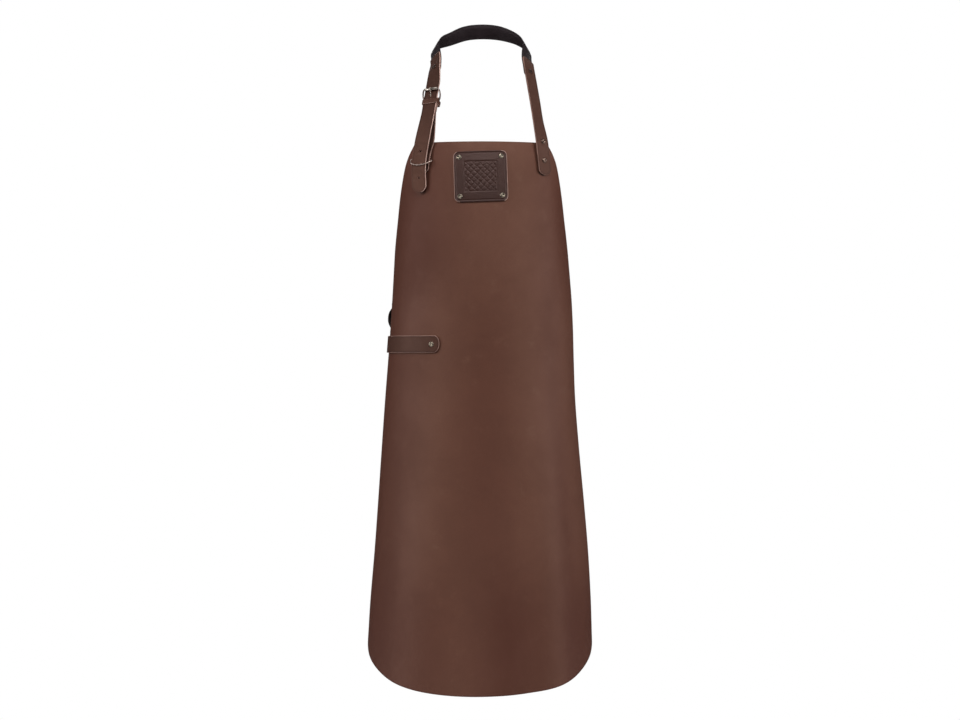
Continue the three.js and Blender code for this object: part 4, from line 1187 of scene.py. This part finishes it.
# The prong's line: round the heel bar, through the strap and over the roller
hook = BAR / 2 + HOOK_SLACK + PRONG
prong_points = [
    (0, -frame_tall + hook * math.cos(math.radians(turn)), hook * math.sin(math.radians(turn)))
    for turn in HOOK_TURNS
]
prong_rest = ROLLER + GAP + PRONG
prong_points += [
    (0, -frame_tall + 0.005, hook + 0.0002),
    (0, 0, hook + 0.0003),
    (0, frame_tall - 0.003, prong_rest),
    (0, frame_tall + 0.0015, prong_rest),
    (0, frame_tall + 0.0034, prong_rest - 0.0009),
]
prong_knots = chord_knots(prong_points)
prong_tip = prong_knots[-1]
prong_runs = np.linspace(0, prong_tip, PRONG_ROWS)
prong_line = place_of(reader("xyz", prong_points, prong_knots)(prong_runs))
prong_size = PRONG * (1 - PRONG_TAPER[0] * smooth(prong_runs, prong_tip - PRONG_TAPER[1], prong_tip))
prong_section = circle(1.0, PRONG_SIDES)[None] * prong_size[:, None, None]
prong = sweep("buckle_tongue", prong_line, (1, 0, 0), prong_section, False)
prong.data.transform(frame_basis)
dress(prong, "buckle_prong", "nickel", buckle_nickel)

holes = [round_cutter(buckle_run + HOLE_FIRST + n * HOLE_PITCH) for n in range(HOLES_BELOW)]
prong_cutter = sweep("punch", prong_line, (1, 0, 0), circle(PRONG + PRONG_SLACK, PRONG_SIDES), False)
prong_cutter.data.transform(frame_basis)
punch(left_strap, holes + [prong_cutter])

# The buckle strap: a short strap riveted to the bib's left corner under the free end, slotted for the prong.
# It climbs behind the free end, folds round the heel bar and comes down again behind itself.
BUCKLE_LAP = [
    (-42.6, -0.282, 0.0021, 0),
    (-42.2, -0.268, 0.0021, 0),
    (-41.2, -0.256, 0.0039, 0),
    (-40.0, -0.238, 0.0021, 0),
    (-38.0, -0.222, 0.0022, 0),
]
LAP_CLIMB = (-0.026, HEEL_BAR[0] - 0.0054)
LAP_ROWS = 26
FOLD_TURNS = range(90, -91, -15)
LAP_ROUND = 0.009
# The buckle strap is drawn darker all over: painted shade, for the shade it lies in under the free end.
LAP_SHADE = 0.7
front_leg = HEEL_BAR[1] + FOLD_MID
tuck = front_leg - LAP_THICK - GAP
TUCK_ROWS = [
    (0.0034, HEEL_BAR[1] - FOLD_MID + 0.0003),
    (0.0084, tuck - 0.0012),
    (0.0134, tuck),
    (0.0210, tuck),
    (0.0270, tuck),
]
LAP_COLUMNS = ("x", "y", "z", "out_x", "out_y", "out_z")


def buckle_point(y, z):
    return BUCKLE_AT + BUCKLE_CLIMB * y + buckle_out * z


def lap_rows():
    """Places and outward directions along the buckle strap, from its riveted end to its tucked end."""
    lower = [lying(row, True) for row in BUCKLE_LAP]
    lower += [(*buckle_point(y, front_leg), BUCKLE_FACING, BUCKLE_LIFT) for y in LAP_CLIMB]
    knots = chord_knots(lower)
    read = reader(NECK_COLUMNS, lower, knots)
    rows = []
    for run in np.linspace(0, knots[-1], LAP_ROWS):
        row = read(run)
        rows.append((*[float(row[name]) for name in "xyz"], *pointing(row["facing"], row["lift"]).ravel()))
    for turn in np.radians(FOLD_TURNS):
        up, out = math.cos(turn), math.sin(turn)
        place = buckle_point(HEEL_BAR[0] + FOLD_MID * up, HEEL_BAR[1] + FOLD_MID * out)
        rows.append((*place, *(BUCKLE_CLIMB * up + buckle_out * out)))
    for below, z in TUCK_ROWS:
        rows.append((*buckle_point(HEEL_BAR[0] - below, z), *-buckle_out))
    return rows


lap_table = lap_rows()
lap_knots = chord_knots(lap_table)
lap_at = reader(LAP_COLUMNS, lap_table, lap_knots)


def lap_line(run):
    row = lap_at(run)
    return place_of(row), unit(np.stack([row["out_x"], row["out_y"], row["out_z"]], axis=-1))


lap_grid = strap_grid(lap_line, 0.0, lap_knots[-1], STRAP_WIDTH / 2, LAP_ROUND, 0, LAP_THICK / 2)
# A copy of the cut edge between the pale and the darker one: painted half shade on the edges of the buckle
# strap and the waist straps.
half_shaded_edge = raw_leather("half_shaded_cut_edge", (0.17, 0.094, 0.075), (0.32, 0.200, 0.168), 0.72)
buckle_strap = brown_strap(
    "buckle_strap_folded", "buckle_strap", lap_grid, LAP_THICK, LAP_SHADE, half_shaded_edge, ("right",)
)

SLOT_HALF = (PRONG + 0.0007, 0.006, 0.008)
SLOT_AHEAD = 0.0022
slot_corners = np.array([(x, y, z) for x in (-1, 1) for y in (-1, 1) for z in (-1, 1)]) * SLOT_HALF
slot_faces = [(0, 1, 3, 2), (4, 6, 7, 5), (0, 4, 5, 1), (2, 3, 7, 6), (0, 2, 6, 4), (1, 5, 7, 3)]
slot_cutter = finish_mesh("punch", slot_corners, slot_faces)
slot_cutter.data.transform(strap_basis @ Matrix.Translation((0, HEEL_BAR[0] + SLOT_AHEAD, HEEL_BAR[1])))
punch(buckle_strap, [slot_cutter])

# The keepers: a leather loop under the buckle and a wire ring lower down hold the free end in place.
# The leather one is a closed band of strap leather; the ring is plated wire bent round both straps.
KEEPER_TALL = 0.0098
KEEPER_THICK = 0.0015
KEEPER_AT = -0.013
KEEPER_SLACK = 0.0005
KEEPER_CORNER = 0.0006
KEEPER_SOFT_EDGE = 0.0007
LOOP_ARC_POINTS = 8
LOOP_SIDE_POINTS = 10
KEEPER_LOW = HEEL_BAR[1] - FOLD_MID - LAP_THICK / 2 - GAP
KEEPER_HIGH = STRAP_THICK / 2 + GAP
WIRE = 0.001
RING_ANGLE = -41.5
RING_Z = -0.2565
RING_LINE = ((-39.6, -0.228), (-43.6, -0.284))
RING_ROWS = 80

# The ring's line: distance across the strap, up along it and out from the panel
WIRE_RING = [
    (0.0, 0.0, 0.0014),
    (0.0146, 0.0, 0.0013),
    (0.0186, -0.0016, 0.0036),
    (0.0145, -0.0060, 0.0082),
    (0.0080, -0.0094, 0.0108),
    (0.0, -0.0120, 0.0121),
    (-0.0090, -0.0130, 0.0136),
    (-0.0170, -0.0116, 0.0149),
    (-0.0204, -0.0065, 0.0118),
    (-0.0206, -0.0020, 0.0060),
    (-0.0140, 0.0, 0.0014),
]


def loop_path(half_wide, low, high, thick, corner):
    """The middle of a loop round straps: a rectangle with round corners in the plane across the strap."""
    half = half_wide + thick / 2
    radius = corner + thick / 2
    top = high + thick / 2
    bottom = low - thick / 2
    middles = [(half - radius, top - radius), (radius - half, top - radius)]
    middles += [(radius - half, bottom + radius), (half - radius, bottom + radius)]
    points = []
    outs = []
    for n, (x, z) in enumerate(middles):
        turn = np.radians(np.linspace(0, 90, LOOP_ARC_POINTS) + 90 * n)
        arc = np.stack([np.cos(turn), np.zeros(LOOP_ARC_POINTS), np.sin(turn)], axis=-1)
        points.append(np.array((x, 0, z)) + radius * arc)
        outs.append(arc)
        next_start = np.array((*middles[(n + 1) % 4], 0))[[0, 2, 1]] + radius * arc[-1]
        between = np.linspace(points[-1][-1], next_start, LOOP_SIDE_POINTS)[1:-1]
        points.append(between)
        outs.append(np.broadcast_to(arc[-1], between.shape))
    return np.concatenate(points), np.concatenate(outs)


def soft_bar(width, height, soft):
    """A rectangular section with soft corners, and whether each side of it is a rim, a front or a back."""
    points = []
    for x, y, start in ((1, 1, 0), (-1, 1, 90), (-1, -1, 180), (1, -1, 270)):
        middle = (x * (width / 2 - soft), y * (height / 2 - soft))
        for turn in np.radians(start + np.array([0, 30, 60, 90])):
            points.append((middle[0] + soft * math.cos(turn), middle[1] + soft * math.sin(turn)))
    points = np.array(points)
    middles = (points + np.roll(points, -1, 0)) / 2
    kinds = np.where(middles[:, 1] > height / 2 - 0.3 * soft, GRAIN, CUT)
    kinds = np.where(middles[:, 1] < -height / 2 + 0.3 * soft, FLESH, kinds)
    return points, kinds


keeper_half = STRAP_WIDTH / 2 + KEEPER_SLACK
keeper_path, keeper_outs = loop_path(keeper_half, KEEPER_LOW, KEEPER_HIGH, KEEPER_THICK, KEEPER_CORNER)
keeper_section, keeper_kinds = soft_bar(KEEPER_TALL, KEEPER_THICK, KEEPER_SOFT_EDGE)
keeper = sweep("buckle_keeper_band", keeper_path, keeper_outs, keeper_section, True, keeper_kinds)
keeper.data.transform(strap_basis @ Matrix.Translation((0, KEEPER_AT, 0)))
dress(keeper, "buckle_keeper", "strap_leather", *STRAP_FINISHES)

ring_out = form_normal(RING_ANGLE, RING_Z)
ring_up = form_point(*RING_LINE[0]) - form_point(*RING_LINE[1])
ring_up = unit(ring_up - ring_out * np.dot(ring_out, ring_up))
ring_basis = basis(form_point(RING_ANGLE, RING_Z), np.cross(ring_up, ring_out), ring_up, ring_out)
ring_rows = WIRE_RING[-2:] + WIRE_RING + WIRE_RING[:3]
ring_knots = chord_knots(ring_rows)
ring_runs = np.linspace(ring_knots[2], ring_knots[2 + len(WIRE_RING)], RING_ROWS, endpoint=False)
ring_path = place_of(reader("xyz", ring_rows, ring_knots)(ring_runs))
wire_nickel = plated_metal("wire_nickel", (0.78, 0.62, 0.55), (0.20, 0.135, 0.11), 0.20)
wire = sweep("strap_keeper_wire", ring_path, ring_path - ring_path.mean(0), circle(WIRE), True)
wire.data.transform(ring_basis)
dress(wire, "strap_keeper", "nickel", wire_nickel)

# The waist strap: two lengths of strap leather, riveted to the panel and overlapping at the back.
# The left one's round end shows on the front; both meet inside a plain metal sleeve, the clasp.
WAIST_WIDTH = 0.031
WAIST_Z = -0.5922
WAIST_OVERLAP = (128, 150, 203)
WAIST_LEFT_FROM = 26.1
WAIST_RIGHT_FROM = 100.0
WAIST_ROUNDS = (3.6, 6.0)
WAIST_DEGREE = 0.0028
WAIST_STEP = 0.0032
WAIST_DYE = 0.38
CLASP_THICK = 0.0016
CLASP_TALL = 0.022
CLASP_SLACK = 0.0006
CLASP_BELOW = -0.0007
CLASP_ROOM = 0.0022
CLASP_CORNER = 0.0008
CLASP_SOFT_EDGE = 0.0005


def waist_grid(start, reach, lift):
    def grid(inset, height):
        # Degrees round the wearer become metres for the rows, whose insets are in metres
        scale = WAIST_DEGREE
        runs, halves = strap_rows(
            start * scale, WAIST_OVERLAP[2] * scale, WAIST_WIDTH / 2,
            WAIST_ROUNDS[0] * scale, WAIST_ROUNDS[1] * scale, WAIST_STEP, inset,
        )
        z = WAIST_Z + halves[:, None] * np.linspace(-1, 1, STRAP_COLUMNS)
        degrees = np.broadcast_to(runs[:, None] / scale, z.shape)
        return above(reach * degrees, z, lift(degrees) + WAIST_THICK + height)

    return grid


def step_out(degrees):
    return WAIST_LIFT + (WAIST_THICK + GAP) * smooth(degrees, WAIST_OVERLAP[0], WAIST_OVERLAP[1])


front_grid = waist_grid(WAIST_LEFT_FROM, -1, step_out)
brown_strap("waist_strap_front", "waist_strap_left", front_grid, WAIST_THICK, WAIST_DYE, half_shaded_edge, SIDES)
back_grid = waist_grid(WAIST_RIGHT_FROM, 1, lambda degrees: WAIST_LIFT)
brown_strap("waist_strap_back", "waist_strap_right", back_grid, WAIST_THICK, WAIST_DYE, half_shaded_edge)

clasp_out = form_normal(180, WAIST_Z)
clasp_side = unit(np.cross(clasp_out, (0, 0, 1)))
clasp_basis = basis(form_point(180, WAIST_Z), np.cross(clasp_side, clasp_out), clasp_side, clasp_out)
clasp_half = WAIST_WIDTH / 2 + CLASP_SLACK
clasp_high = WAIST_LIFT + 2 * WAIST_THICK + CLASP_ROOM
clasp_path, clasp_outs = loop_path(clasp_half, CLASP_BELOW, clasp_high, CLASP_THICK, CLASP_CORNER)
clasp_section = soft_bar(CLASP_TALL, CLASP_THICK, CLASP_SOFT_EDGE)[0]
clasp = sweep("waist_sleeve", clasp_path, clasp_outs, clasp_section, True)
clasp.data.transform(clasp_basis)
dress(clasp, "waist_clasp", "nickel", buckle_nickel)

# The side loop: a short strip of black leather on the left flank, just above the waist strap.
# It is cut with round ends, bowed out in the middle and riveted to the panel by both feet.
SIDE_ANGLE = -102.5
SIDE_Z = -0.543
SIDE_LENGTH = 0.066
SIDE_BOW = 0.0066
SIDE_BOW_HALF = 0.0185
SIDE_HALF = 0.007
SIDE_ROUND = 0.006
SIDE_CURVE = (2.6, 1.3)


def side_line(run):
    run = np.asarray(run) - SIDE_LENGTH / 2
    away = np.minimum(np.abs(run) / SIDE_BOW_HALF, 1)
    lift = LOOP_LIFT + SIDE_BOW * (1 - away ** SIDE_CURVE[0]) ** SIDE_CURVE[1]
    angle = np.full(run.shape, SIDE_ANGLE)
    return above(angle, SIDE_Z + run, lift), form_normal(angle, SIDE_Z + run)


side_grid = strap_grid(side_line, 0.0, SIDE_LENGTH, SIDE_HALF, SIDE_ROUND, SIDE_ROUND, LOOP_THICK)
side_loop = slab("side_loop_strip", side_grid, LOOP_THICK, STRAP_SOFT_EDGE)
side_edge = raw_leather("black_cut_edge", (0.012, 0.008, 0.007), (0.035, 0.024, 0.022), 0.8)
dress(side_loop, "side_loop", "black_leather", band_leather, side_edge, side_edge)

# The studio: a pale round floor below the apron that fades into a white room.
# Soft boxes at both sides, above the front and behind light the leather; some only add sheen.
FLOOR_PLACE = (0.0, -0.08, -1.50)
FLOOR_THICK = 0.02
FLOOR_RADIUS = 1.15
FLOOR_SIDES = 96
FLOOR_COLOUR = (0.86, 0.86, 0.86, 1.0)
FLOOR_FADE = (0.55, 1.10)
WHITE = (1.0, 1.0, 1.0, 1.0)
ROOM_LIGHT = (0.05, 0.32)
ROOM_RISE = (0.15, 0.85)

floor = disc("studio_floor", FLOOR_RADIUS, -FLOOR_THICK, 0.0, FLOOR_SIDES)
floor.data.transform(Matrix.Translation(FLOOR_PLACE))
floor_material, floor_tree, floor_shader = new_material("pale_floor", specular=0.2)
floor_shader.inputs["Base Color"].default_value = FLOOR_COLOUR
floor_shader.inputs["Roughness"].default_value = 0.9
flat_inputs = {0: object_place(floor_tree), 1: (1.0, 1.0, 0.0)}
floor_flat = add_node(floor_tree, "ShaderNodeVectorMath", flat_inputs, operation="MULTIPLY")
floor_away = add_node(floor_tree, "ShaderNodeVectorMath", {0: floor_flat.outputs[0]}, operation="LENGTH")
floor_glow = add_node(floor_tree, "ShaderNodeEmission", {"Color": WHITE, "Strength": 1.0})
floor_fade = ranged(floor_tree, floor_away.outputs["Value"], *FLOOR_FADE)
floor_shaders = {0: floor_fade, 1: floor_shader.outputs[0], 2: floor_glow.outputs[0]}
floor_mix = add_node(floor_tree, "ShaderNodeMixShader", floor_shaders)
floor_tree.links.new(floor_mix.outputs[0], floor_tree.nodes["Material Output"].inputs["Surface"])
floor.data.materials.append(floor_material)

world = bpy.data.worlds.new("white_room")
bpy.context.scene.world = world
world.use_nodes = True
room = world.node_tree
room_light = room.nodes["Background"]
room_light.inputs["Color"].default_value = WHITE
room_way = add_node(room, "ShaderNodeTexCoord").outputs["Generated"]
room_height = add_node(room, "ShaderNodeSeparateXYZ", {"Vector": room_way}).outputs["Z"]
room.links.new(ranged(room, room_height, *ROOM_RISE, *ROOM_LIGHT), room_light.inputs["Strength"])
room_seen = add_node(room, "ShaderNodeBackground", {"Color": WHITE, "Strength": 1.0})
room_rays = add_node(room, "ShaderNodeLightPath").outputs["Is Camera Ray"]
room_shaders = {0: room_rays, 1: room_light.outputs[0], 2: room_seen.outputs[0]}
room_mix = add_node(room, "ShaderNodeMixShader", room_shaders)
room.links.new(room_mix.outputs[0], room.nodes["World Output"].inputs["Surface"])

# Place, aim, width, height and power of each soft box, and whether it lights (fill) or only shines (sheen)
SOFT_BOXES = [
    ("left_fill", (-2.95, -1.55, 0.75), (0.0, -0.1, -0.40), 1.6, 2.0, 96.0, "fill"),
    ("right_fill", (2.95, -1.55, 0.75), (0.0, -0.1, -0.40), 1.6, 2.0, 103.0, "fill"),
    ("left_strip", (-2.6, -0.95, -0.3), (0.0, -0.1, -0.60), 1.2, 2.2, 33.0, "sheen"),
    ("right_strip", (2.6, -0.95, -0.3), (0.0, -0.1, -0.60), 1.2, 2.2, 33.0, "sheen"),
    ("front_box", (0.0, -2.5, 1.7), (0.0, -0.15, -0.3), 1.8, 0.9, 44.0, "both"),
    ("back_fill", (0.0, 3.0, 1.2), (0.0, 0.0, -0.6), 2.4, 2.0, 70.0, "both"),
]
for name, place, aim, wide, tall, power, use in SOFT_BOXES:
    light = bpy.data.lights.new(name, "AREA")
    light.shape = "RECTANGLE"
    light.size = wide
    light.size_y = tall
    light.energy = power
    soft_box = bpy.data.objects.new(name, light)
    soft_box.location = place
    soft_box.rotation_euler = (Vector(aim) - Vector(place)).to_track_quat("-Z", "Y").to_euler()
    soft_box.visible_camera = False
    soft_box.visible_diffuse = use != "sheen"
    soft_box.visible_glossy = use != "fill"
    bpy.context.scene.collection.objects.link(soft_box)
